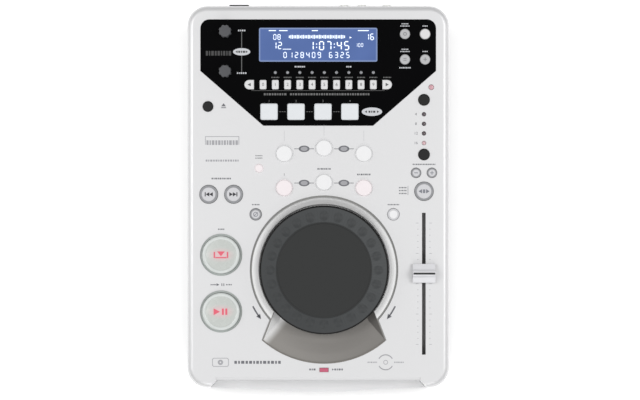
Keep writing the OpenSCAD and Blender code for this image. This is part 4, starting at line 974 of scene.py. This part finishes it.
class PLAYER_OT_deck_print(PlayerOperator, bpy.types.Operator):
    """Print lines, arrows, ticks and plain numbers on the deck"""
    bl_idname = "player.deck_print"
    bl_label = "Deck print"

    def execute(self, context):
        dark, pale = printed(), printed()
        self.links(dark, pale)
        self.left_marks(dark)
        self.right_marks(dark)
        self.name_place(pale)
        self.lamp_scale(dark)
        self.fader_scale(pale)
        self.wheel_arrows(dark)
        self.front_lamp_marks(dark)
        self.front_circle(pale)
        self.front_frame(dark, pale)
        piece("deck_print", dark.bm, HOUSING, print_ink("deck_ink", colours().ink))
        pale_ink = print_ink("deck_pale_ink", colours().pale_ink)
        piece("deck_pale_print", pale.bm, HOUSING, pale_ink)
        return {"FINISHED"}

    def links(self, dark, pale):
        """Ovals and lines that join the round buttons of a row."""
        thin = sizes().line / MM
        oval, hole, flat, reach = 4.5, 2.9, 0.6, 8.0
        for row in ((1, 2, 3), (4, 5, 6)):
            left, middle, right = (spot(f"effect_button_{i}") for i in row)
            v = middle.v - 0.6
            for side in (left, right):
                u = (side.u + middle.u) / 2
                dark.hoop(u, v, oval, hole, segments=32, stretch=flat)
                pale.disc(u, v, 2 * hole, 3.5)
                for end in (-reach, reach):
                    dark.stroke([(u + end * 0.55, v), (u + end, v)], thin * 1.5)
            if row[0] == 1:
                for button in (left, middle, right):
                    edge = button.v + button.half
                    pale.stroke([(button.u, edge + 3.6), (button.u, edge + 12.4)], thin * 0.5)
        for i in (5, 6):
            button = spot(f"effect_button_{i}")
            dark.dashes(button.u, button.v + button.half + 4.4, 12.0, 1.3)
        button = spot("effect_button_4")
        dark.figures("1", button.u, button.v + button.half + 4.2, sizes().deck_figures / MM)

    def left_marks(self, dark):
        """Short marks over the buttons at the left."""
        u, v, _, _ = spot("eject_button")
        dark.pointer(u + 12.9, v + 1.4, 2.6, math.pi / 2, slim=1.5)
        dark.slab(u + 12.9, v - 1.0, 4.0, 0.7)
        u, v = between("skip_back_button", "skip_forward_button")
        dark.dashes(u, v + 13.0, 17.0, 1.3)
        u, v, half, _ = spot("cue_button")
        dark.dashes(u, v + half + 5.6, 6.0, 1.1)
        u, v, half, _ = spot("play_button")
        over = v + half + 6.6
        dark.pointer(u - 2.6, over, 2.4, slim=1.0)
        for aside in (0.6, 2.2):
            dark.slab(u + aside, over, 0.7, 2.2)
        for way in (-1, 1):
            dark.dashes(u + way * 6.4, over, 5.0, 1.0)

    def right_marks(self, dark):
        """Short marks over the buttons at the right."""
        u, v, half, _ = spot("scratch_button")
        for lift in (5.0, 7.0):
            dark.dashes(u, v + half + lift, 6.0, 0.8)
        for node, wide in (("search_button", 6.0), ("hold_button", 10.0)):
            u, v, half, _ = spot(node)
            dark.dashes(u, v + half + 3.2, wide, 1.0)
        u, v = between("bend_down_button", "bend_up_button")
        dark.dashes(u, v + spot("bend_down_button").half + 3.0, 19.0, 1.1)
        u, v, _, _ = spot("range_button")
        for lift in (-2.4, 0.0, 2.4):
            dark.dashes(u - 17.5, v + 0.6 + lift, 6.4, 1.0)
        dark.stroke([(u - 13.2, v - 3.0), (u - 13.2, v + 4.2)], sizes().line / MM)

    def name_place(self, pale):
        """Frame and dash rows where a name would stand."""
        u, v = between("skip_back_button", "skip_forward_button")
        u, v = u + 0.8, v + 42.0
        half, top, foot = 13.8, v + 5.6, v - 1.0
        pale.stroke([(u - half, foot), (u - half, top), (u + half, top), (u + half, foot)], FRAME_LINE)
        pale.dashes(u, v + 0.6, 25.0, 3.8, narrow=0.5)
        pale.dashes(u, v - 14.2, 27.0, 1.6)

    def lamp_scale(self, dark):
        """Numbers beside the status lamps."""
        downwards = sorted(lamps("status_lamps"), key=lambda lamp: -lamp.v)
        for lamp, text in zip(downwards, ("4", "8", "12", "16")):
            dark.figures(text, lamp.u - 6.6, lamp.v, sizes().deck_figures / MM)

    def fader_scale(self, pale):
        """Ticks on both sides of the fader slot, with a longer one at each quarter."""
        slide = next(joint for joint in frame["joints"] if joint["name"] == "fader_slide")
        u, v, _, _ = spot("fader_cap")
        first, last = (limit / MM for limit in slide["range_m"])
        ticks, quarter, tick_line, beside = 20, 5, 0.35, 4.4
        for i in range(ticks + 1):
            at = v + first + (last - first) * i / ticks
            long = 2.2 if i % quarter == 0 else 1.1
            for way in (-1, 1):
                pale.slab(u + way * (beside + long / 2), at, long, tick_line)

    def wheel_arrows(self, dark):
        """Curved arrows beside the finger scoop."""
        from_front, step = 62.5, 1.8
        for way in (-1, 1):
            turns = [math.radians(-90 + way * (from_front - i * step)) for i in range(6)]
            points = dark.arc(WHEEL_U, WHEEL_V, WHEEL_R + 13.2, turns, 1.3)
            dark.pointer(*points[-1], 4.2, turns[-1] - way * math.pi / 2, slim=0.95)

    def front_lamp_marks(self, dark):
        """Dashes and a small arrow beside the oblong lamp."""
        lamp = lamps("front_lamp")[0]
        v = lamp.v + 0.4
        dark.dashes(lamp.u - 9.6, v, 5.8, 1.5)
        dark.pointer(lamp.u + 7.4, v, 1.6, slim=1.1)
        dark.dashes(lamp.u + 12.0, v, 7.0, 1.5)

    def front_circle(self, pale):
        """Broken circle between dashes, at the front on the right."""
        u, v = DECK_HALF - 52.4, FRONT_MARKS_V
        for way in (-1, 1):
            turns = [math.radians(30 + i * 12 + 90 * (1 - way)) for i in range(11)]
            pale.arc(u, v, 6.2, turns, 0.8)
            pale.dashes(u + way * 11.0, v, 8.0, 1.1)
        pale.hoop(u, v, 1.9, 1.4)

    def front_frame(self, dark, pale):
        """Small frame with cut corners round a ring, and dashes, at the front on the left."""
        u, v = 27.4 - DECK_HALF, FRONT_MARKS_V
        wide, tall, cut = 6.6, 3.4, 1.0
        for way in (-1, 1):
            edge, side_u = v + way * tall, u + way * wide
            pale.stroke([(u - wide + cut, edge), (u + wide - cut, edge)], FRAME_LINE)
            pale.stroke([(side_u, v - tall + cut), (side_u, v + tall - cut)], FRAME_LINE)
            for side in (-1, 1):
                pale.stroke([(u + side * (wide - cut), edge), (u + side * wide, v + way * (tall - cut))],
                            FRAME_LINE)
        pale.hoop(u, v, 2.2, 0.7, segments=32)
        dark.dashes(u + 30.6, v, 38.0, 2.4)


class PLAYER_OT_window(PlayerOperator, bpy.types.Operator):
    """Gloss window panel with its pale print"""
    bl_idname = "player.window"
    bl_label = "Window"

    def execute(self, context):
        dress(gloss_window(), "window_panel")
        pale, dim, faint = printed(), printed(), printed()
        into, over = 0.03, 0.02
        dark = Layer(pale.high - into, pale.high + over)
        self.knob_marks(pale, dim)
        self.name_place(faint)
        self.key_marks(pale, dim)
        self.square_marks(dim)
        self.round_marks(pale)
        self.oval_marks(dark)
        for name, layer, ink in (("window", pale, colours().window_ink), ("window_dim", dim, tone(98)),
                                 ("window_dark", dark, tone(38)), ("window_faint", faint, tone(58))):
            piece(name + "_print", layer.bm, HOUSING, print_ink(name + "_ink", ink))
        return {"FINISHED"}

    def oval_places(self):
        """Middle, width and length of the two pale ovals."""
        last = spot("loop_button_4")
        _, v = between("track_knob", "menu_knob")
        return (spot("track_knob").u + KNOB_LINE_ASIDE, v, 14.2, 6.0), (last.u + 18.2, last.v, 16.8, 7.0)

    def name_place(self, faint):
        """Faint dashes where a name would stand."""
        _, v = between("track_knob", "menu_knob")
        faint.dashes(spot("track_knob").u - 5.7, v - 1.2, 20.0, 3.8, narrow=0.5)

    def oval_marks(self, dark):
        """Dark arrows and dashes on the pale ovals."""
        for u, v, wide, _ in self.oval_places():
            for way in (-1, 1):
                dark.pointer(u + way * wide * 0.3, v, 1.8, ahead(way), slim=1.1)
            dark.dashes(u, v, wide * 0.36, 1.6)

    def knob_marks(self, pale, dim):
        """Line with end marks between the two knobs, and the pale ovals."""
        top, bottom = spot("track_knob"), spot("menu_knob")
        u = top.u + KNOB_LINE_ASIDE
        v = (top.v + bottom.v) / 2
        half = (top.v - bottom.v) / 2
        for way, wide in ((-1, 8.4), (1, 6.4)):
            dim.stroke([(u, v + way * 2.8), (u, v + way * half)], 0.6)
            pale.dashes(u, v + way * (half + 1.2), wide, 1.3)
        for oval in self.oval_places():
            pale.disc(*oval, segments=48)

    def key_marks(self, pale, dim):
        """Dashes over the small keys and their lamps, and a line and a row of dashes under them."""
        keys = [spot(f"key_{i:02d}") for i in range(1, 13)]
        rise = keys[1].v + 3.8
        for key in keys[2:]:
            dim.dashes(key.u, rise + 2.2, 6.4, 0.9)
        dim.stroke([(keys[0].u + 2.0, rise - 8.7), (keys[-1].u - 2.0, rise - 8.7)], 0.25)
        for first, last in ((3, 5), (8, 8)):
            middle = (keys[first].u + keys[last].u) / 2
            pale.dashes(middle, rise + 11.0, 4.0 + 2.8 * (last - first), 1.2)
        middle = (keys[0].u + keys[-1].u) / 2
        for aside, wide in ((-35.5, 18.0), (9.5, 67.0)):
            dim.dashes(middle + aside, rise - 11.7, wide, 1.7)

    def square_marks(self, dim):
        """Dashes between the square buttons and numbers over them."""
        squares = [spot(f"loop_button_{i}") for i in range(1, 5)]
        for number, square in enumerate(squares, 1):
            dim.figures(str(number), square.u, square.v + square.half + 1.6, sizes().window_figures / MM)
        for left, right in zip(squares, squares[1:]):
            middle = (left.u + right.u) / 2
            for aside in (-1.9, 0.0, 1.9):
                dim.slab(middle + aside, left.v, 1.3, 0.45)

    def round_marks(self, pale):
        """Small marks by the round buttons beside the display."""
        for i, rows in ((1, (7.4, 5.8)), (2, (5.0,)), (3, (7.4, 5.8)), (4, (5.0,))):
            u, v, half, _ = spot(f"display_button_{i}")
            for line, wide in enumerate(rows):
                pale.dashes(u, v + half + 2.4 + 1.8 * line, wide, 0.9)
        u, v, half, _ = spot("display_button_3")
        pale.dashes(u, v - half - 2.6, 9.6, 1.1)


class PLAYER_OT_display(PlayerOperator, bpy.types.Operator):
    """Lit display with its figures, bar row and small marks"""
    bl_idname = "player.display"
    bl_label = "Display"

    def execute(self, context):
        dress(lit_display(), "lcd_module")
        low, high = deck_box("lcd_module", BELOW_WINDOW)
        layer = printed(high.z)
        self.numbers(layer, low.x, high.y)
        self.bars(layer, low.x, high.y)
        glow = print_ink("segment_light", colours().segments, lit=0.6)
        piece("display_figures", layer.bm, HOUSING, glow)
        return {"FINISHED"}

    def numbers(self, layer, left, back):
        """Time, track and tempo numbers and the lower row, measured from the left rear corner."""
        big, row = sizes().time_figures / MM, sizes().row_figures / MM
        for text, aside, down, height, pitch in (
                ("1:07:45", 41.4, 18.0, big, big * 0.92), ("12", 11.4, 17.2, big * 0.8, 0.0),
                ("08", 12.0, 9.6, big * 0.62, 0.0), ("16", 88.0, 9.8, big * 0.72, 0.0),
                ("100", 79.6, 15.6, big * 0.42, 0.0), ("0128409 6325", 20.4, 24.6, row, 4.7)):
            layer.segment_figures(text, left + aside, back - down, height, pitch)

    def bars(self, layer, left, back):
        """Row of bars of uneven height, and small marks along the rear edge."""
        count, pitch = 36, 1.3
        for i in range(count):
            tall = 2.0 + 1.1 * abs(math.sin(i * 0.9))
            layer.slab(left + 25.0 + i * pitch, back - 7.4, 0.75, tall)
        layer.slab(left + 23.0, back - 17.6, 7.0, 0.5)
        for aside, wide in ((11.0, 6.0), (20.0, 7.0), (46.0, 5.0), (86.0, 9.0)):
            layer.slab(left + aside, back - 2.3, wide, 0.7)
        layer.pointer(left + 75.6, back - 8.0, 1.8)


class PLAYER_OT_keys(PlayerOperator, bpy.types.Operator):
    """Small keys and square buttons of the window"""
    bl_idname = "player.keys"
    bl_label = "Keys"

    def execute(self, context):
        white = button_plastic("square_white", tone(219, 222, 225))
        milky = button_plastic("key_white", colours().keys)
        ink = print_ink("key_ink", tone(84, 85, 88))
        rounding = sizes().button_round
        for i in range(1, 13):
            refine(f"key_{i:02d}", milky, rounding)
        for i in range(1, 5):
            refine(f"loop_button_{i}", white, rounding * 1.4)
        mark("key_mark_01", "key_01", arrow_symbol(-1), ink)
        mark("key_mark_12", "key_12", arrow_symbol(1), ink)
        for i in range(2, 12):
            mark(f"key_mark_{i:02d}", f"key_{i:02d}", number_symbol(str(i - 2)), ink)
        return {"FINISHED"}


class PLAYER_OT_knobs(PlayerOperator, bpy.types.Operator):
    """The two scalloped turning knobs"""
    bl_idname = "player.knobs"
    bl_label = "Knobs"

    def execute(self, context):
        grey = textured_plastic("knob_plastic", tone(80, 81, 84), grain=3.0, depth=0.04, rough=0.4)
        light = print_ink("knob_line", tone(150))
        line_foot, line_face = 0.4, 0.16
        for node in ("track_knob", "menu_knob"):
            refine(node, grey, sizes().button_round)
            u, v, half, top = spot(node)
            line = Layer(top - line_foot, top - line_face)
            line.slab(u, v + half * 0.45, 0.7, half * 0.5)
            piece(node + "_line", line.bm, BODY_OF[node], light)
        return {"FINISHED"}


class PLAYER_OT_round_buttons(PlayerOperator, bpy.types.Operator):
    """White, lit and black round buttons"""
    bl_idname = "player.round_buttons"
    bl_label = "Round buttons"

    def execute(self, context):
        rounding = sizes().button_round
        # The white, pink and bright buttons glow at their foot as painted light.
        white = button_plastic("button_white", colours().white, lit=0.45)
        pink = button_plastic("button_pink", colours().pink, lit=0.5)
        grey = button_plastic("button_grey", tone(180, 180, 182))
        bright = button_plastic("button_bright", tone(218, 216, 217), lit=0.2)
        black = textured_plastic("button_black", tone(17), grain=3.0, depth=0.03, rough=0.5)
        for finish, nodes in (
                (white, [f"effect_button_{i}" for i in (1, 2, 3, 5)]),
                (pink, ["effect_button_4", "effect_button_6", "scratch_button"]),
                (grey, [f"display_button_{i}" for i in (1, 3, 4)]), (bright, ["display_button_2"])):
            for node in nodes:
                refine(node, finish, rounding * 1.5)
        faint = print_ink("faint_ink", tone(128, 128, 130))
        for i, symbol in ((1, ring_symbol), (3, bars_symbol), (4, plus_symbol)):
            mark(f"display_symbol_{i}", f"display_button_{i}", symbol, faint)
        for node in ("eject_button", "tempo_button", "time_button"):
            refine(node, black, rounding * 1.2)
        return {"FINISHED"}


class PLAYER_OT_ringed_buttons(PlayerOperator, bpy.types.Operator):
    """Buttons with a pale face in a dark ring, and their symbols"""
    bl_idname = "player.ringed_buttons"
    bl_label = "Ringed buttons"

    def execute(self, context):
        ink = print_ink("symbol_ink", tone(34, 34, 40))
        soft = print_ink("soft_ink", tone(120, 122, 130))
        for name, rim, symbol, symbol_ink in (
                ("skip_back", 1.7, skip_symbol(-1), ink), ("skip_forward", 1.7, skip_symbol(1), ink),
                ("search", 1.2, slashed_symbol, soft), ("hold", 1.2, None, None),
                ("bend_down", 1.0, minus_symbol, soft), ("bend_up", 1.0, plus_symbol, soft),
                ("range", 1.6, range_symbol, soft)):
            node = name + "_button"
            rim_tone, face_tone = colours().ring_grey, colours().face
            if name == "hold":
                rim_tone, face_tone = tone(206, 206, 209), colours().white
            refine(node, ringed_button(node, rim, rim_tone, face_tone), sizes().button_round * 0.6)
            if symbol:
                mark(name + "_symbol", node, symbol, symbol_ink)
        return {"FINISHED"}


class PLAYER_OT_large_buttons(PlayerOperator, bpy.types.Operator):
    """Cue and play buttons: silver collar, clear lens and a lit red symbol"""
    bl_idname = "player.large_buttons"
    bl_label = "Large buttons"

    def execute(self, context):
        red = print_ink("lit_red", colours().glow, lit=0.16)
        for name, symbol in (("cue", cue_symbol), ("play", play_symbol)):
            node = name + "_button"
            refine(node, lens_button(node), sizes().button_round, segments=3)
            mark(name + "_symbol", node, symbol, red, sink=0.5)
        return {"FINISHED"}


class PLAYER_OT_wheel(PlayerOperator, bpy.types.Operator):
    """Jog wheel and its ring with the finger scoop"""
    bl_idname = "player.wheel"
    bl_label = "Wheel"

    def execute(self, context):
        refine("jog_wheel", wheel_plastic(), sharp=SHARP_ON_SHELLS)
        refine("jog_bezel", turned_ring(), sharp=SHARP_ON_SHELLS)
        return {"FINISHED"}


class PLAYER_OT_fader(PlayerOperator, bpy.types.Operator):
    """Fader cap with its black line, and the slide under the deck"""
    bl_idname = "player.fader"
    bl_label = "Fader"

    def execute(self, context):
        cap = button_plastic("cap_silver", tone(224, 224, 227), rough=0.3)
        refine("fader_cap", cap, sizes().button_round)
        # Painted light: the slide under the fader slot is painted pale grey so that the shaded slot looks lighter.
        dress(textured_plastic("slide_grey_painted_light", tone(170), grain=2.0, depth=0.03, rough=0.5), "fader_unit")
        line_foot, line_face, line_wide, end_gap = 0.85, 0.15, 1.4, 0.5
        u, v, half, top = spot("fader_cap")
        line = Layer(top - line_foot, top - line_face)
        line.slab(u, v, 2 * (half - end_gap), line_wide)
        piece("fader_line", line.bm, BODY_OF["fader_cap"], print_ink("line_black", tone(30)))
        return {"FINISHED"}


class PLAYER_OT_disc_mouth(PlayerOperator, bpy.types.Operator):
    """Painted slot fascia with two felt lips in its mouth"""
    bl_idname = "player.disc_mouth"
    bl_label = "Disc mouth"

    def execute(self, context):
        # Painted light: the fascia takes the housing paint made a little lighter.
        refine("slot_fascia", silver_paint("fascia_paint_painted_light", painted_light_gain=1.02))
        mouth = next(hole for hole in frame["record"]["physics"]["openings"]
                     if hole["name"] == "disc_mouth")
        low, high = (Vector(corner) / MM for corner in mouth["box_m"])
        middle = (low.z + high.z) / 2
        slit = sizes().felt_gap / MM / 2
        felt_thick, behind, beyond, overlap = 0.8, 1.4, 3.6, 0.05
        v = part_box("slot_fascia")[1].y / MM - behind
        bm = bmesh.new()
        for bottom, top in ((low.z - overlap, middle - slit), (middle + slit, high.z + overlap)):
            Layer(bottom, top, bm).slab((low.x + high.x) / 2, v, high.x - low.x + beyond, felt_thick)
        felt = textured_plastic("felt_black", tone(28), grain=6.0, depth=0.25, rough=0.95)
        piece("mouth_felt", bm, HOUSING, felt, FRAME_MM)
        return {"FINISHED"}


class PLAYER_OT_drive(PlayerOperator, bpy.types.Operator):
    """Disc drive seen through the mouth"""
    bl_idname = "player.drive"
    bl_label = "Drive"

    def execute(self, context):
        dress(plated_metal("drive_sheet", tone(176, 178, 184), rough=0.35), "drive_chassis")
        dress(plated_metal("hub_steel", tone(120, 121, 125)), "disc_spindle")
        dress(textured_plastic("sled_black", tone(30), grain=2.0, depth=0.03, rough=0.5), "laser_sled")
        dress(rubber("roller_rubber", tone(40)), "feed_roller")
        return {"FINISHED"}


class PLAYER_OT_rear(PlayerOperator, bpy.types.Operator):
    """Mains inlet with plated pins, power switch and nickel sockets with coloured insulation"""
    bl_idname = "player.rear"
    bl_label = "Rear panel"

    def execute(self, context):
        black = textured_plastic("socket_black", tone(22), grain=2.6, depth=0.04, rough=0.4)
        dress(black, "power_inlet", "power_rocker")
        refine("rear_sockets", socket_metal())
        self.inlet_pins()
        self.rocker_signs()
        return {"FINISHED"}

    def inlet_pins(self):
        """Nickel skin on the three pins of the mains inlet."""
        low, high = (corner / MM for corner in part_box("power_inlet"))
        u = (low.x + high.x) / 2
        wide, long, tall = 2.16, 9.0, 4.16
        v, middle = high.y - 11.0, low.z + 10.0
        bm = bmesh.new()
        for aside, lift in ((-5.0, -2.0), (5.0, -2.0), (0.0, 2.6)):
            foot = middle + lift - tall / 2
            Layer(foot, foot + tall, bm).slab(u + aside, v, wide, long)
        bmesh.ops.bevel(bm, geom=bm.edges, offset=0.35, segments=2, profile=0.5, material=-1, affect="EDGES")
        nickel = plated_metal("nickel", tone(200, 200, 196))
        piece("inlet_pins", bm, HOUSING, nickel, FRAME_MM)

    def rocker_signs(self):
        """Ring and line, the usual signs for off and on, on the two halves of the rocker."""
        shown = [face for face in NODES["power_rocker"].data.polygons if face.normal.y > 0.7]
        even = sum(face.normal.z * face.area for face in shown) / sum(face.area for face in shown)
        ink = print_ink("rocker_ink", tone(226))
        for name, way in (("rocker_ring", 1), ("rocker_line", -1)):
            half = [face for face in shown if (face.normal.z > even) == (way > 0)]
            area = sum(face.area for face in half)
            middle = sum((face.center * face.area for face in half), Vector()) / area
            layer = Layer(-0.05, 0.06)
            if way > 0:
                layer.hoop(0.0, 0.0, 1.9, 1.3, segments=32)
            else:
                layer.slab(0.0, 0.0, 0.6, 3.6)
            turn = half[0].normal.to_track_quat("Z", "Y").to_matrix().to_4x4()
            layer.bm.transform(Matrix.Translation(middle / MM) @ turn)
            piece(name, layer.bm, BODY_OF["power_rocker"], ink, FRAME_MM)


class PLAYER_OT_lamps(PlayerOperator, bpy.types.Operator):
    """Lamp lenses that stand out of the deck and window"""
    bl_idname = "player.lamps"
    bl_label = "Lamps"

    def execute(self, context):
        dress(circuit_board(), "circuit_boards")
        pale = lamp_lens("lamp_pale", tone(136, 138, 142), lit=0.03)
        dark = lamp_lens("lamp_dark", tone(78, 66, 71), lit=0.0)
        pink = lamp_lens("lamp_pink", tone(198, 152, 160), lit=0.06)
        red = lamp_lens("lamp_red", tone(188, 92, 116), lit=0.08)
        rose = lamp_lens("lamp_rose", tone(202, 168, 172), lit=0.05)
        status = lamps("status_lamps")
        lit = min(status, key=lambda lamp: lamp.v)
        self.lenses("key_lamps", lamps("key_lamps"), pale)
        self.lenses("lit_status_lamp", [lit], rose)
        self.lenses("status_lamps", [lamp for lamp in status if lamp != lit], dark)
        self.lenses("ready_lamp", lamps("ready_lamp"), pink)
        self.lenses("front_lamp", lamps("front_lamp"), red)
        return {"FINISHED"}

    def lenses(self, name, tops, finish):
        """Low domes over lamps, and a flat lens where a lamp is oblong."""
        rise = sizes().lens_rise / MM
        foot, play, oblong = -0.4, 0.1, 1.2
        bm = bmesh.new()
        for u, v, wide, deep in tops:
            wide, deep = wide + play, deep + play
            if wide > deep * oblong:
                Layer(foot, rise * 0.8, bm).slab(u, v, wide, deep)
                continue
            r = min(wide, deep) / 2
            dome = [(r, foot), (r, rise * 0.4), (r * 0.86, rise * 0.72), (r * 0.5, rise * 0.95), (0.0, rise)]
            lathe(bm, u, v, dome, segments=24)
        piece(name, bm, HOUSING, finish)


IMAGE = (640, 400)
HOUSING_PIXELS = 262.0
DECK_FRONT_PIXEL = (318.2, 387.3)
CAMERA_DISTANCE = 1.8
AIM = (0.0, 0.0, 0.08)
WORLD_STRENGTH = 0.4
LIGHTS = {  # place, width, length and power
    "right_softbox": ((0.95, 0.05, 1.8), 0.9, 0.8, 11.8),
    "left_softbox": ((-0.95, 0.05, 1.8), 0.9, 0.8, 11.8),
    "front_fill": ((0.0, -1.1, 1.0), 0.8, 0.8, 4.6),
    "right_side_box": ((1.3, 0.1, 0.8), 0.6, 0.6, 1.6),
    "left_side_box": ((-1.3, 0.1, 0.8), 0.6, 0.6, 1.8),
}


class PLAYER_OT_stage(PlayerOperator, bpy.types.Operator):
    """Pale floor, soft lights and the camera"""
    bl_idname = "player.stage"
    bl_label = "Stage"

    def execute(self, context):
        self.floor(context)
        self.camera(context)
        self.world(context)
        self.lights(context)
        return {"FINISHED"}

    def floor(self, context):
        bm = bmesh.new()
        bmesh.ops.create_grid(bm, x_segments=1, y_segments=1, size=4.0)
        mesh = bpy.data.meshes.new("floor")
        bm.to_mesh(mesh)
        bm.free()
        mesh.materials.append(studio_floor().material)
        floor = bpy.data.objects.new("floor", mesh)
        context.scene.collection.objects.link(floor)

    def camera(self, context):
        """Long lens that looks straight down on the sloping deck."""
        pixel = 2 * DECK_HALF / HOUSING_PIXELS
        u = (IMAGE[0] / 2 - DECK_FRONT_PIXEL[0]) * pixel
        v = (DECK_FRONT_PIXEL[1] - IMAGE[1] / 2) * pixel
        data = bpy.data.cameras.new("camera")
        data.lens = data.sensor_width * CAMERA_DISTANCE / (IMAGE[0] * pixel * MM)
        data.clip_end = 20.0
        camera = bpy.data.objects.new("camera", data)
        place = DECK @ Vector((u, v, CAMERA_DISTANCE / MM))
        camera.matrix_world = Matrix.Translation(place) @ Matrix.Rotation(TILT, 4, "X")
        context.scene.collection.objects.link(camera)
        context.scene.camera = camera

    def world(self, context):
        """White light from all sides, and plain screen colours."""
        world = bpy.data.worlds.new("studio")
        world.use_nodes = True
        background = world.node_tree.nodes["Background"]
        background.inputs["Color"].default_value = (1.0, 1.0, 1.0, 1.0)
        background.inputs["Strength"].default_value = WORLD_STRENGTH
        context.scene.world = world
        context.scene.view_settings.view_transform = "Standard"

    def lights(self, context):
        for name, (place, wide, deep, power) in LIGHTS.items():
            data = bpy.data.lights.new(name, "AREA")
            data.shape = "RECTANGLE"
            data.size = wide
            data.size_y = deep
            data.energy = power
            light = bpy.data.objects.new(name, data)
            turn = (Vector(AIM) - Vector(place)).to_track_quat("-Z", "Y")
            light.matrix_world = Matrix.Translation(place) @ turn.to_matrix().to_4x4()
            context.scene.collection.objects.link(light)


STEPS = (PLAYER_OT_housing, PLAYER_OT_deck_print, PLAYER_OT_window, PLAYER_OT_display, PLAYER_OT_keys,
         PLAYER_OT_knobs, PLAYER_OT_round_buttons, PLAYER_OT_ringed_buttons, PLAYER_OT_large_buttons,
         PLAYER_OT_wheel, PLAYER_OT_fader, PLAYER_OT_disc_mouth, PLAYER_OT_drive, PLAYER_OT_rear,
         PLAYER_OT_lamps, PLAYER_OT_stage)


class PLAYER_PT_steps(bpy.types.Panel):
    """Lists the steps that dress the player"""
    bl_idname = "PLAYER_PT_steps"
    bl_label = "Disc player"
    bl_space_type = "VIEW_3D"
    bl_region_type = "UI"
    bl_category = "Player"

    def draw(self, context):
        for group in (context.scene.player_sizes, context.scene.player_colours):
            box = self.layout.box()
            for name in group.__annotations__:
                box.prop(group, name)
        for step in STEPS:
            self.layout.operator(step.bl_idname)


CLASSES = (PlayerSizes, PlayerColours, *STEPS, PLAYER_PT_steps)


def register():
    for item in CLASSES:
        bpy.utils.register_class(item)
    bpy.types.Scene.player_sizes = bpy.props.PointerProperty(type=PlayerSizes)
    bpy.types.Scene.player_colours = bpy.props.PointerProperty(type=PlayerColours)


def unregister():
    del bpy.types.Scene.player_colours
    del bpy.types.Scene.player_sizes
    for item in reversed(CLASSES):
        bpy.utils.unregister_class(item)


def main():
    register()
    for step in STEPS:
        group, name = step.bl_idname.split(".")
        if getattr(getattr(bpy.ops, group), name)() != {"FINISHED"}:
            raise RuntimeError(step.bl_label + " did not finish")


if __name__ == "__main__":
    main()
